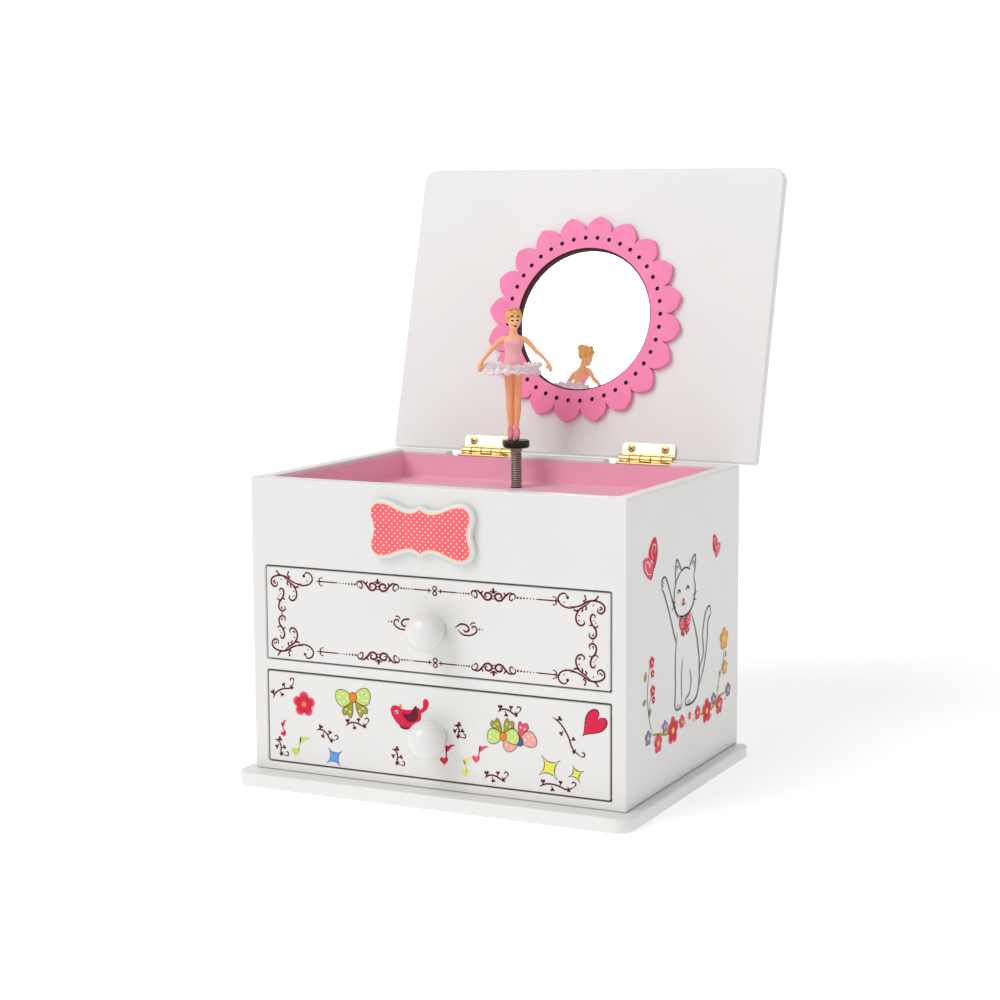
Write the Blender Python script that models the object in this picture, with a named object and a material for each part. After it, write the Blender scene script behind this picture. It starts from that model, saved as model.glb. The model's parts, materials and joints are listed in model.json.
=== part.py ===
"""A wooden wind-up music box: a white case with two drawers, a lined tray under a hinged lid with a
round mirror, a dancer on a coil spring, and the clockwork movement behind the upper drawer.

Metres, +Z up. X is to the right, -Y is the front. The origin is the middle of the case's footprint,
on the underside of the base plate. The lid is modelled closed and then opened about its hinge.
"""

import bmesh
import bpy
from math import acos, asin, atan2, cos, pi, radians, sin, sqrt, tan
from mathutils import Matrix, Vector

# ---- Driving dimensions ------------------------------------------------------------------------
GAP = 0.0003            # glue line or play between two neighbouring pieces
FINE_GAP = 0.0001       # play between small metal pieces
THROUGH = 0.01          # how far a cutter runs on past what it cuts

# Case
CASE_WIDTH = 0.160
CASE_DEPTH = 0.116
CASE_HEIGHT = 0.116     # from the base plate's top to the rim
WALL = 0.006            # sides, back and front boards
BASE_THICKNESS = 0.0057
BASE_SIDE_LIP = 0.0046
BASE_FRONT_LIP = 0.0088
BASE_CORNER = 0.007
BOARD_BACK_CORNER = 0.0015
CASE_BOTTOM_THICKNESS = 0.0029
SHELF_THICKNESS = 0.004
LOWER_BAY = 0.037       # height of the lower drawer's opening
UPPER_BAY = 0.0375      # height of the upper drawer's opening
THIN_BOARD = 0.003      # dust board, partition and tray floor
MOVEMENT_BAY = 0.0255   # depth of the room for the movement, front to back

# Tray
TRAY_DEPTH = 0.0118     # from the rim down to the lining
LINING = 0.0008
LINING_DROP = 0.0015    # the lining stops this far under the rim

# Drawers
REVEAL = 0.00065        # dark line round each drawer front
DRAWER_FRONT = 0.006
DRAWER_SIDE = 0.004
DRAWER_BOTTOM = 0.0025
DRAWER_SIDE_PLAY = 0.001
DRAWER_TOP_STEP = 0.0035  # the drawer's sides are this much lower than its front
DRAWER_END_PLAY = 0.0012
KNOB_RADIUS = 0.0075
KNOB_SQUASH = 0.9       # depth of the ball over its width
KNOB_REACH = 0.0083     # from the drawer front to the ball's middle
KNOB_NECK = 0.0036
KNOB_X = 0.0012
KNOB_DROP = 0.0006      # under the drawer front's middle
KNOB_COLLAR = 0.0008    # the neck's foot spreads this far
KNOB_SCREW = 0.0016
KNOB_SCREW_HEAD = 0.003
KNOB_SCREW_CROWN = 0.0014

# Lid
LID_THICKNESS = 0.0042
LID_CORNER = 0.0055
LID_X = 0.0014          # how far the lid hangs right of the case's middle
LID_OPEN = radians(105)
HINGE_BEHIND = 0.0005   # hinge axis behind the case's back
HINGE_ABOVE = 0.0002    # hinge axis above the rim
BARREL_RADIUS = 0.0018
PIN_RADIUS = 0.0007
PIN_PLAY = 0.00015
KNUCKLES = 5
LEAF_THICKNESS = 0.0008
LEAF_CORNER = 0.0012
HINGE_LENGTH = 0.024
HINGE_SPACING = 0.0742  # between the two hinges' middles
CASE_LEAF = 0.0062      # reach of the leaf on the case, from the axis
LID_LEAF = 0.0069       # reach of the leaf on the lid, from the axis
MORTISE_EXTRA = 0.0045  # the mortise runs on past the hinge's left end
HINGE_SCREW_LENGTH = 0.0034
SCREW_SPACING = 0.0152
SCREW_HEAD = 0.0018
SCREW_SHANK = 0.0007
SCREW_CROWN = 0.0006

# Mirror and its ring
MIRROR_RADIUS = 0.0326
MIRROR_THICKNESS = 0.0011
MIRROR_UP = 0.0585      # from the lid's back edge to the mirror's middle
MIRROR_X = 0.0011       # from the lid's middle
RING_THICKNESS = 0.0021
RING_HOLE = 0.031
RING_NOTCH = 0.0386
RING_TIP = 0.0450
PETALS = 20
PETAL_TURN = radians(4.6)
DOT_CIRCLE = 0.0355
DOT_RADIUS = 0.0007

# Plaque
PLAQUE_X = -0.0032
PLAQUE_DOWN = 0.0166    # from the rim to its middle
PLAQUE_THICKNESS = 0.003
PLAQUE_MARGIN = 0.0012
PLAQUE_CARD = 0.0004
PLAQUE_EAR_X = 0.0171
PLAQUE_EAR_Z = 0.0060
PLAQUE_EAR = 0.0043
PLAQUE_VALLEY_X = 0.0045
PLAQUE_VALLEY = 0.0070
PLAQUE_POINT = 0.00875
PLAQUE_WAIST = 0.0200

# Spindle, spring and figure
SPINDLE_X = -0.0118
SPINDLE_BEHIND = 0.0201  # from the spindle to the case's back
SPINDLE_RADIUS = 0.0011
SPRING_RADIUS = 0.0023
SPRING_WIRE = 0.0006
SPRING_LENGTH = 0.0157
LEAN_HEIGHT = 0.0060    # height of the bend above the lining
FACING = radians(25)    # the figure looks this far right of straight forward
DISC_RADIUS = 0.0056
DISC_THICKNESS = 0.0032
DISC_BEVEL = 0.0005
FERRULE_HEIGHT = 0.0015
FERRULE_PEG = 0.003     # the ferrule's plug inside the spring
FIGURE_SHIFT = -0.0008
FIGURE_HEIGHT = 0.0540
TUTU_RADIUS = 0.0120
TUTU_HEIGHT = 0.0285    # over the disc
TUTU_THICKNESS = 0.0040
TUTU_WAVES = 14
TUTU_WAVE = 0.0006

# Movement
BEDPLATE = 0.0016
BEDPLATE_WIDTH = 0.046
BEDPLATE_LEFT = 0.0184  # from the cylinder's axis to the bedplate's left edge
MODULE = 0.0005
CYLINDER_TEETH = 32
PINION_TEETH = 8
GOVERNOR_STEP = 12      # teeth between the spindle's mesh and the governor's
GEAR_THICKNESS = 0.002
CYLINDER_RADIUS = 0.0065
CYLINDER_LENGTH = 0.016
CYLINDER_BEHIND = 0.0216  # from the cylinder's axis to the case's back
CYLINDER_PIN = 0.0004
SHAFT = 0.001
GOVERNOR_SHAFT = 0.0007
BORE_PLAY = 0.0001
PLATE = 0.0015
WHEEL_PEGS = 32
WHEEL_PEG_CIRCLE = 0.0115
WHEEL_RADIUS = 0.0125
WHEEL_THICKNESS = 0.001
PEG_RADIUS = 0.00035
PEG_LENGTH = 0.0035     # from a peg's tip to the wheel's back
PEG_DEPTH = 0.0007      # how far a peg reaches inside the pinion's pitch circle
LANTERN_BLADE = 0.0005
ARBOR = 0.0016
ARBOR_REACH = 0.0085    # past the case's back
WHEEL_CLEARANCE = 0.003  # between the wheel's edge and the shelf
HOUSING_RADIUS = 0.0122
HOUSING_WALL = 0.0008
MAINSPRING_TURNS = 5
MAINSPRING_THICKNESS = 0.0004
VANE_RADIUS = 0.0026
VANE_THICKNESS = 0.0004
VANE_END = 0.002        # from the vane's ends to the drum's ends
COMB_TEETH = 18
COMB_THICKNESS = 0.001
COMB_BLOCK = 0.0075     # width of the block that holds the comb
COMB_SLIT = 0.00025
COMB_SCREW_LENGTH = 0.0055
KEY_STEM = 0.0034
KEY_STEM_LENGTH = 0.009
KEY_SPAN = 0.0115       # half the key's width
KEY_LOBE = 0.0062
KEY_EYE = 0.0017        # small holes in the key's lobes
KEY_THICKNESS = 0.0022
KEY_HOLE_RADIUS = 0.0045
KEY_CAP = 0.002         # the key's stem past the arbor's end

# ---- Derived places ----------------------------------------------------------------------------
RIM = BASE_THICKNESS + CASE_HEIGHT
FRONT = -CASE_DEPTH / 2
BACK = CASE_DEPTH / 2
INNER_X = CASE_WIDTH / 2 - WALL
INNER_BACK = BACK - WALL
SPINDLE_Y = BACK - SPINDLE_BEHIND
CYLINDER_Y = BACK - CYLINDER_BEHIND
FLOOR = RIM - TRAY_DEPTH
SHELF_BOTTOM = BASE_THICKNESS + GAP + CASE_BOTTOM_THICKNESS + LOWER_BAY
SHELF_TOP = SHELF_BOTTOM + SHELF_THICKNESS
UPPER_BAY_TOP = SHELF_TOP + UPPER_BAY
TRAY_BOARD_TOP = FLOOR - LINING - GAP
PARTITION_BACK = INNER_BACK - MOVEMENT_BAY
HINGE_Y = BACK + HINGE_BEHIND
HINGE_Z = RIM + HINGE_ABOVE
LID_FACE = BARREL_RADIUS + GAP      # lid's inner face over the hinge axis, when closed
LID_DEPTH = BASE_FRONT_LIP + CASE_DEPTH
LID_WIDTH = CASE_WIDTH + 2 * BASE_SIDE_LIP
LID_BACK = BACK - HINGE_Y
BEND = FLOOR + LEAN_HEIGHT
SPRING_FOOT = TRAY_BOARD_TOP + 2 * GAP
DISC_BOTTOM = SPRING_FOOT + SPRING_LENGTH + FERRULE_HEIGHT + FINE_GAP
DISC_TOP = DISC_BOTTOM + DISC_THICKNESS
PINION_RADIUS = MODULE * PINION_TEETH / 2
GEAR_RADIUS = MODULE * CYLINDER_TEETH / 2
GEAR_CENTRES = PINION_RADIUS + GEAR_RADIUS
CYLINDER_X = SPINDLE_X + sqrt(GEAR_CENTRES ** 2 - (SPINDLE_Y - CYLINDER_Y) ** 2)
WHEEL_Z = SHELF_TOP + WHEEL_CLEARANCE + WHEEL_RADIUS
LANTERN_Z = WHEEL_Z + WHEEL_PEG_CIRCLE
LANTERN_RADIUS = WHEEL_PEG_CIRCLE * PINION_TEETH / WHEEL_PEGS
LANTERN_LENGTH = 2 * (WHEEL_RADIUS - WHEEL_PEG_CIRCLE)
LOWER_PLATE_Z = WHEEL_Z + WHEEL_RADIUS + 3 * GAP
DRUM_Z = LOWER_PLATE_Z + PLATE + 3 * GAP
GEAR_Z = DRUM_Z + CYLINDER_LENGTH + 2 * GAP
UPPER_PLATE_Z = GEAR_Z + GEAR_THICKNESS + 2 * GAP
BEDPLATE_FRONT = INNER_BACK - GAP - BEDPLATE
PEG_TIP_Y = CYLINDER_Y + LANTERN_RADIUS - PEG_DEPTH
WHEEL_BACK = PEG_TIP_Y + PEG_LENGTH


# ---- Materials ---------------------------------------------------------------------------------
def material(name, color, roughness, metallic=0.0):
    made = bpy.data.materials.new(name)
    made.use_nodes = True
    shader = made.node_tree.nodes["Principled BSDF"]
    shader.inputs["Base Color"].default_value = (*color, 1.0)
    shader.inputs["Roughness"].default_value = roughness
    shader.inputs["Metallic"].default_value = metallic
    made.diffuse_color = (*color, 1.0)
    return made


def make_materials():
    return {
        "lacquer": material("white_lacquer", (0.86, 0.85, 0.83), 0.3),
        "lining": material("pink_lining", (0.80, 0.28, 0.44), 0.95),
        "pink": material("pink_paint", (0.95, 0.24, 0.46), 0.4),
        "coral": material("coral_card", (0.93, 0.15, 0.17), 0.45),
        "mirror": material("mirror_glass", (0.9, 0.92, 0.92), 0.02, 1.0),
        "brass": material("polished_brass", (0.86, 0.62, 0.24), 0.2, 1.0),
        "steel": material("spring_steel", (0.40, 0.36, 0.30), 0.35, 1.0),
        "plywood": material("plain_board", (0.62, 0.46, 0.30), 0.7),
        "disc": material("green_black_plastic", (0.012, 0.020, 0.012), 0.4),
        "doll": material("doll_plastic", (0.93, 0.55, 0.36), 0.45),
        "tutu": material("tutu_plastic", (0.88, 0.84, 0.86), 0.5),
    }


# ---- Shape helpers -----------------------------------------------------------------------------
def finish(name, mesh, coat, parent=None, smooth=True):
    """Wraps a mesh as a named node, shaded smooth across shallow angles."""
    if smooth:
        mesh.shade_smooth()
        mesh.set_sharp_from_angle(angle=radians(35))
    mesh.materials.append(coat)
    node = bpy.data.objects.new(name, mesh)
    bpy.context.collection.objects.link(node)
    node.parent = parent
    return node


def mesh_of(build):
    """A mesh filled by build(bm), with its normals pointing out."""
    mesh = bpy.data.meshes.new("shape")
    bm = bmesh.new()
    build(bm)
    bmesh.ops.recalc_face_normals(bm, faces=bm.faces)
    bm.to_mesh(mesh)
    bm.free()
    return mesh


def board(name, x, y, z, coat, parent=None):
    """A square-edged board between two limits on each axis, with its origin in its middle."""
    sides = [high - low for low, high in (x, y, z)]
    middle = [(high + low) / 2 for low, high in (x, y, z)]

    def build(bm):
        bmesh.ops.create_cube(bm, size=1.0)
        bmesh.ops.scale(bm, vec=sides, verts=bm.verts)

    node = finish(name, mesh_of(build), coat, parent, smooth=False)
    node.location = middle
    return node


def prism(name, outline, low, high, coat, parent=None):
    """An outline in the XY plane, raised from low to high."""
    def build(bm):
        face = bm.faces.new([bm.verts.new((x, y, low)) for x, y in outline])
        raised = bmesh.ops.extrude_face_region(bm, geom=[face])["geom"]
        corners = [part for part in raised if isinstance(part, bmesh.types.BMVert)]
        bmesh.ops.translate(bm, vec=(0, 0, high - low), verts=corners)

    return finish(name, mesh_of(build), coat, parent)


def fretwork(name, outlines, low, high, coat, parent=None):
    """A flat piece with openings: the first outline is its edge, and the others are holes."""
    curve = bpy.data.curves.new(name, "CURVE")
    curve.dimensions = "2D"
    curve.fill_mode = "BOTH"
    curve.extrude = (high - low) / 2
    for outline in outlines:
        spline = curve.splines.new("POLY")
        spline.points.add(len(outline) - 1)
        spline.use_cyclic_u = True
        for point, (x, y) in zip(spline.points, outline):
            point.co = (x, y, 0, 1)
    flat = bpy.data.objects.new(name, curve)
    mesh = bpy.data.meshes.new_from_object(flat)
    bpy.data.objects.remove(flat)
    bm = bmesh.new()
    bm.from_mesh(mesh)
    bmesh.ops.remove_doubles(bm, verts=bm.verts, dist=1e-7)
    bmesh.ops.translate(bm, vec=(0, 0, (low + high) / 2), verts=bm.verts)
    bmesh.ops.recalc_face_normals(bm, faces=bm.faces)
    bm.to_mesh(mesh)
    bm.free()
    return finish(name, mesh, coat, parent)


def turned(name, profile, sides, coat, parent=None):
    """A solid turned about Z from (radius, height) points that start and end on the axis."""
    def build(bm):
        rings = []
        for radius, height in profile:
            if radius < 1e-9:
                rings.append([bm.verts.new((0, 0, height))])
                continue
            turns = (2 * pi * i / sides for i in range(sides))
            rings.append([bm.verts.new((radius * cos(a), radius * sin(a), height)) for a in turns])
        for below, above in zip(rings, rings[1:]):
            for i in range(sides):
                j = (i + 1) % sides
                if len(below) == 1:
                    bm.faces.new((below[0], above[i], above[j]))
                elif len(above) == 1:
                    bm.faces.new((below[i], below[j], above[0]))
                else:
                    bm.faces.new((below[i], below[j], above[j], above[i]))

    return finish(name, mesh_of(build), coat, parent)


def tube(name, outer, inner, low, high, sides, coat, parent=None):
    rings = [circle(outer, sides), circle(inner, sides)]
    return fretwork(name, rings, low, high, coat, parent)


def rod(name, radius, low, high, sides, coat, parent=None):
    return turned(name, [(0, low), (radius, low), (radius, high), (0, high)], sides, coat, parent)


def circle(radius, sides, x=0.0, y=0.0):
    turns = (2 * pi * (i + 0.5) / sides for i in range(sides))
    return [(x + radius * cos(a), y + radius * sin(a)) for a in turns]


def rounded_rectangle(x, y, corners, steps=6):
    """A rectangle between two limits on each axis, with a radius for each corner.

    The corners run from back right to back left, front left and front right.
    """
    points = []
    quarters = ((x[1], y[1], -1, -1), (x[0], y[1], 1, -1), (x[0], y[0], 1, 1), (x[1], y[0], -1, 1))
    for quarter, (corner, radius) in enumerate(zip(quarters, corners)):
        centre_x = corner[0] + corner[2] * radius
        centre_y = corner[1] + corner[3] * radius
        for step in range(steps + 1):
            turn = (quarter + step / steps) * pi / 2
            points.append((centre_x + radius * cos(turn), centre_y + radius * sin(turn)))
    return points


def cutter(shape):
    shape.hide_render = True
    shape.display_type = "WIRE"
    return shape


def carve(target, tool, operation="DIFFERENCE"):
    """Cuts a helper out of a piece, or joins it on."""
    cut = target.modifiers.new(tool.name, "BOOLEAN")
    cut.operation = operation
    cut.solver = "EXACT"
    cut.object = cutter(tool)
    return target


def stand(node, x, y, z, turn=None):
    """Puts a piece's own origin at a point, turned by a matrix."""
    node.matrix_local = Matrix.Translation((x, y, z)) @ (turn or Matrix())
    return node


def axis(name, location, turn=None, parent=None):
    """An empty on a joint's axis, which the moving pieces hang from."""
    empty = bpy.data.objects.new(name, None)
    empty.empty_display_size = 0.01
    bpy.context.collection.objects.link(empty)
    empty.parent = parent
    empty.matrix_local = Matrix.Translation(location) @ (turn or Matrix())
    return empty


ALONG_X = Matrix.Rotation(pi / 2, 4, "Y")    # turned pieces whose height runs along +X
ALONG_BACK = Matrix.Rotation(-pi / 2, 4, "X")  # and along +Y
ALONG_FRONT = Matrix.Rotation(pi / 2, 4, "X")  # and along -Y


# ---- Case --------------------------------------------------------------------------------------
def make_case(coat):
    white = coat["lacquer"]
    half = CASE_WIDTH / 2
    between = (-INNER_X + GAP, INNER_X - GAP)
    under_case = BASE_THICKNESS + GAP
    outline = rounded_rectangle(
        (-half - BASE_SIDE_LIP, half + BASE_SIDE_LIP),
        (FRONT - BASE_FRONT_LIP, BACK),
        (BOARD_BACK_CORNER, BOARD_BACK_CORNER, BASE_CORNER, BASE_CORNER),
    )
    prism("base_plate", outline, 0.0, BASE_THICKNESS, white)
    board("left_side", (-half, -INNER_X), (FRONT, BACK), (under_case, RIM), white)
    board("right_side", (INNER_X, half), (FRONT, BACK), (under_case, RIM), white)
    back = board("back_panel", between, (INNER_BACK, BACK), (under_case, RIM), white)
    board("front_panel", between, (FRONT, FRONT + WALL), (UPPER_BAY_TOP, RIM), white)
    behind_front = (FRONT, INNER_BACK - GAP)
    bottom = (under_case, under_case + CASE_BOTTOM_THICKNESS)
    board("case_bottom", between, behind_front, bottom, coat["plywood"])
    board("drawer_shelf", between, behind_front, (SHELF_BOTTOM, SHELF_TOP), white)
    partition = (PARTITION_BACK - THIN_BOARD, PARTITION_BACK)
    tray_board = (TRAY_BOARD_TOP - THIN_BOARD, TRAY_BOARD_TOP)
    board("movement_partition", between, partition, (SHELF_TOP + GAP, tray_board[0] - GAP), coat["plywood"])
    dust = (FRONT + WALL + GAP, partition[0] - GAP)
    board("dust_board", between, dust, (UPPER_BAY_TOP, UPPER_BAY_TOP + THIN_BOARD), coat["plywood"])
    floor = board("tray_floor", between, (FRONT + WALL + GAP, INNER_BACK - GAP), tray_board, coat["plywood"])

    # the spindle's hole in the tray floor, and the key's hole in the back
    hole = rod("spindle_hole", SPRING_RADIUS + 2 * GAP, -THROUGH, THROUGH, 24, white)
    carve(floor, stand(hole, SPINDLE_X, SPINDLE_Y, TRAY_BOARD_TOP))
    hole = rod("key_hole", KEY_HOLE_RADIUS, -THROUGH, THROUGH, 24, white)
    carve(back, stand(hole, CYLINDER_X, BACK, WHEEL_Z, ALONG_BACK))
    return back


def make_lining(coat):
    """The flocked lining: a thin open box that stops short of the rim."""
    outer = (INNER_X - GAP, -FRONT - WALL - GAP)
    high = RIM - LINING_DROP
    low = FLOOR - LINING
    lining = board("tray_lining", (-outer[0], outer[0]), (-outer[1], outer[1]), (low, high), coat["lining"])
    inner = (outer[0] - LINING, outer[1] - LINING)
    top = high + THROUGH
    hollow = board("tray_hollow", (-inner[0], inner[0]), (-inner[1], inner[1]), (FLOOR, top), coat["lining"])
    carve(lining, hollow)
    hole = rod("lining_hole", SPRING_RADIUS + GAP, -THROUGH, THROUGH, 24, coat["lining"])
    carve(lining, stand(hole, SPINDLE_X, SPINDLE_Y, FLOOR))


# ---- Plaque ------------------------------------------------------------------------------------
def plaque_quarter(margin):
    """From the point at the top's middle, over the ear, to the waist at the side."""
    points = []
    steps = 6
    for i in range(steps):
        t = i / steps
        points.append((PLAQUE_VALLEY_X * t, PLAQUE_VALLEY + (PLAQUE_POINT - PLAQUE_VALLEY) * (1 - t) ** 2))
    ear_top = PLAQUE_EAR_Z + PLAQUE_EAR
    for i in range(steps + 2):
        t = i / (steps + 2)
        rise = (1 - cos(pi * t)) / 2
        along = PLAQUE_VALLEY_X + (PLAQUE_EAR_X - PLAQUE_VALLEY_X) * t
        points.append((along, PLAQUE_VALLEY + (ear_top - PLAQUE_VALLEY) * rise))
    last_turn = radians(-20)
    for i in range(steps + 2):
        turn = pi / 2 + (last_turn - pi / 2) * i / (steps + 1)
        points.append((PLAQUE_EAR_X + PLAQUE_EAR * cos(turn), PLAQUE_EAR_Z + PLAQUE_EAR * sin(turn)))
    side_x, side_z = points[-1]
    for i in range(1, steps):
        t = 1 - i / steps
        points.append((PLAQUE_WAIST + (side_x - PLAQUE_WAIST) * t ** 1.6, side_z * t))
    return grown(points, margin)


def grown(points, margin):
    """The quarter outline moved out by a margin, square to its own edge, and kept in its quarter."""
    moved = []
    last = len(points) - 1
    for i, (x, z) in enumerate(points):
        before = points[max(i - 1, 0)]
        after = points[min(i + 1, last)]
        edge = Vector((after[0] - before[0], after[1] - before[1])).normalized()
        moved.append((max(x - edge.y * margin, 0.0), max(z + edge.x * margin, 0.0)))
    moved[0] = (0.0, moved[0][1])
    return moved


def plaque_outline(margin):
    quarter = plaque_quarter(margin)
    waist = (PLAQUE_WAIST + margin, 0.0)
    right = quarter + [waist] + [(x, -z) for x, z in reversed(quarter)]
    left = [(-x, -z) for x, z in quarter[1:]] + [(-waist[0], 0.0)]
    left += [(-x, z) for x, z in reversed(quarter[1:])]
    return [(x, z) for x, z in reversed(right + left)]


def make_plaque(coat):
    centre = (PLAQUE_X, FRONT - GAP, RIM - PLAQUE_DOWN)
    backing = prism("plaque_backing", plaque_outline(PLAQUE_MARGIN), 0.0, PLAQUE_THICKNESS, coat["lacquer"])
    stand(backing, *centre, ALONG_FRONT)
    low = PLAQUE_THICKNESS + GAP / 3
    card = prism("plaque_card", plaque_outline(0.0), low, low + PLAQUE_CARD, coat["coral"])
    stand(card, *centre, ALONG_FRONT)


# ---- Drawers -----------------------------------------------------------------------------------
def knob_profile():
    """From the seat on the drawer front, along the neck and round the flattened ball."""
    depth = KNOB_RADIUS * KNOB_SQUASH
    neck_turn = asin(KNOB_NECK / KNOB_RADIUS)
    collar = KNOB_NECK + KNOB_COLLAR
    profile = [(0, GAP), (collar, GAP), (collar, GAP + KNOB_COLLAR), (KNOB_NECK, GAP + 1.5 * KNOB_COLLAR)]
    steps = 9
    for i in range(steps + 1):
        turn = neck_turn + (pi - neck_turn) * i / steps
        profile.append((KNOB_RADIUS * sin(turn) if i < steps else 0, KNOB_REACH - depth * cos(turn)))
    return profile


def make_drawer(name, bay_low, bay_high, back_end, coat):
    white = coat["lacquer"]
    ply = coat["plywood"]
    slide = axis(name + "_slide", (0, FRONT, (bay_low + bay_high) / 2))
    middle = slide.location.z
    low, high = bay_low - middle, bay_high - middle
    front_x = INNER_X - REVEAL
    side_x = INNER_X - DRAWER_SIDE_PLAY
    thick = DRAWER_FRONT
    front_z = (low + REVEAL, high - REVEAL)
    front = board(name + "_front", (-front_x, front_x), (0, thick), front_z, white, slide)
    walls = (low + GAP, high - DRAWER_TOP_STEP)
    length = back_end - FRONT
    run = (thick + GAP, length)
    board(name + "_left", (-side_x, DRAWER_SIDE - side_x), run, walls, white, slide)
    board(name + "_right", (side_x - DRAWER_SIDE, side_x), run, walls, white, slide)
    inside = (DRAWER_SIDE + GAP - side_x, side_x - DRAWER_SIDE - GAP)
    board(name + "_back", inside, (length - DRAWER_SIDE, length), walls, white, slide)
    bottom = (low + 2 * GAP, low + 2 * GAP + DRAWER_BOTTOM)
    board(name + "_bottom", inside, (thick + GAP, length - DRAWER_SIDE - GAP), bottom, ply, slide)

    knob = turned(name + "_knob", knob_profile(), 24, white, slide)
    knob_place = (KNOB_X, 0, -KNOB_DROP)
    stand(knob, *knob_place, ALONG_FRONT)
    screw_end = KNOB_REACH
    bore = KNOB_SCREW + FINE_GAP
    hole = rod(name + "_knob_bore", bore, -THROUGH, screw_end + FINE_GAP, 12, white, slide)
    carve(knob, stand(hole, *knob_place, ALONG_FRONT))
    hole = rod(name + "_front_bore", bore, -thick - THROUGH, THROUGH, 12, white, slide)
    carve(front, stand(hole, *knob_place, ALONG_FRONT))
    head = -thick - FINE_GAP
    crown = head - KNOB_SCREW_CROWN
    profile = [(0, crown), (KNOB_SCREW_HEAD - GAP, crown + GAP), (KNOB_SCREW_HEAD, head), (KNOB_SCREW, head)]
    profile += [(KNOB_SCREW, screw_end - KNOB_SCREW / 2), (0, screw_end)]
    screw = turned(name + "_knob_screw", profile, 12, coat["steel"], slide)
    stand(screw, *knob_place, ALONG_FRONT)


# ---- Hinges and lid ----------------------------------------------------------------------------
def leaf(name, reach, lift, own, coat, parent):
    """A hinge leaf along X with its axis at the origin: a plate towards -Y and its own knuckles.

    lift is the side of the axis that the plate lies on, +1 over it and -1 under it.
    """
    half = HINGE_LENGTH / 2 - FINE_GAP
    levels = sorted((lift * BARREL_RADIUS, lift * (BARREL_RADIUS - LEAF_THICKNESS)))
    near = -BARREL_RADIUS - GAP
    outline = rounded_rectangle((-half, half), (-reach, near), (0.0002, 0.0002, LEAF_CORNER, LEAF_CORNER), 4)
    plate = prism(name, outline, *levels, coat, parent)
    pitch = HINGE_LENGTH / KNUCKLES
    for knuckle in own:
        low = -HINGE_LENGTH / 2 + knuckle * pitch + FINE_GAP
        high = low + pitch - 2 * FINE_GAP
        label = f"{name}_knuckle_{knuckle}"
        barrel = tube(label, BARREL_RADIUS, PIN_RADIUS + PIN_PLAY, low, high, 20, coat, parent)
        tab_y = (near - GAP, -BARREL_RADIUS * 0.55)
        tab = board(f"{name}_tab_{knuckle}", (low, high), tab_y, levels, coat, parent)
        carve(plate, tab, "UNION")
        carve(plate, stand(barrel, 0, 0, 0, ALONG_X), "UNION")
    return plate


def hinge_screw(name, coat, parent):
    """A domed screw along Z with the underside of its head at the origin."""
    point = -HINGE_SCREW_LENGTH
    profile = [(0, point), (SCREW_SHANK, point + SCREW_SHANK), (SCREW_SHANK, 0), (SCREW_HEAD, 0)]
    profile.append((SCREW_HEAD, SCREW_CROWN / 3))
    profile += [(SCREW_HEAD * 0.72, SCREW_CROWN * 0.85), (0, SCREW_CROWN)]
    return turned(name, profile, 12, coat, parent)


def drill(target, x, y, z, radius, parent, label):
    """A round hole straight through a leaf or into a board, along Z."""
    reach = HINGE_SCREW_LENGTH + GAP
    tool = rod(f"{target.name}_{label}", radius, -reach, reach, 12, target.data.materials[0], parent)
    return carve(target, stand(tool, x, y, z))


def make_hinge(side, along, back_panel, lid_panel, lid_axis, coat):
    """One hinge, centred a distance along the lid's axis."""
    brass = coat["brass"]
    case_axis = axis(f"{side}_hinge_axis", (LID_X + along, HINGE_Y, HINGE_Z))
    lid_side = axis(f"{side}_lid_leaf_axis", (along, 0, 0), parent=lid_axis)
    case_leaf = leaf(f"{side}_hinge_case_leaf", CASE_LEAF, -1, range(1, KNUCKLES, 2), brass, case_axis)
    lid_leaf = leaf(f"{side}_hinge_lid_leaf", LID_LEAF, 1, range(0, KNUCKLES, 2), brass, lid_side)
    pin_end = HINGE_LENGTH / 2
    pin = rod(f"{side}_hinge_pin", PIN_RADIUS, -pin_end, pin_end, 12, brass, case_axis)
    stand(pin, 0, 0, 0, ALONG_X)

    # the mortise that sinks the leaf and half of the barrel in the rim
    mortise_low = -BARREL_RADIUS - GAP
    ends = (-HINGE_LENGTH / 2 - MORTISE_EXTRA, HINGE_LENGTH / 2 + 2 * GAP)
    mortise_y = (-WALL - THROUGH / 2, THROUGH)
    mortise = board(f"{side}_mortise", ends, mortise_y, (mortise_low, THROUGH), brass, case_axis)
    carve(back_panel, mortise)

    flip = Matrix.Rotation(pi, 4, "X")
    head = BARREL_RADIUS - LEAF_THICKNESS - FINE_GAP
    near_edge = -BARREL_RADIUS - GAP
    case_y = (near_edge - CASE_LEAF) / 2
    lid_y = (near_edge - LID_LEAF) / 2
    hole = SCREW_SHANK + FINE_GAP
    pilot = HINGE_SCREW_LENGTH + 2 * GAP
    for number, x in enumerate((-SCREW_SPACING / 2, SCREW_SPACING / 2), 1):
        drill(case_leaf, x, case_y, -BARREL_RADIUS, hole, case_axis, number)
        drill(lid_leaf, x, lid_y, BARREL_RADIUS, hole, lid_side, number)
        bore = rod(f"{side}_case_pilot_{number}", hole, -pilot, 0.0, 12, brass, case_axis)
        carve(back_panel, stand(bore, x, case_y, -head))
        bore = rod(f"{side}_lid_pilot_{number}", hole, 0.0, pilot, 12, brass, lid_side)
        carve(lid_panel, stand(bore, x, lid_y, head))
        screw = hinge_screw(f"{side}_hinge_case_screw_{number}", brass, case_axis)
        stand(screw, x, case_y, -head)
        screw = hinge_screw(f"{side}_hinge_lid_screw_{number}", brass, lid_side)
        stand(screw, x, lid_y, head, flip)


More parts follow.
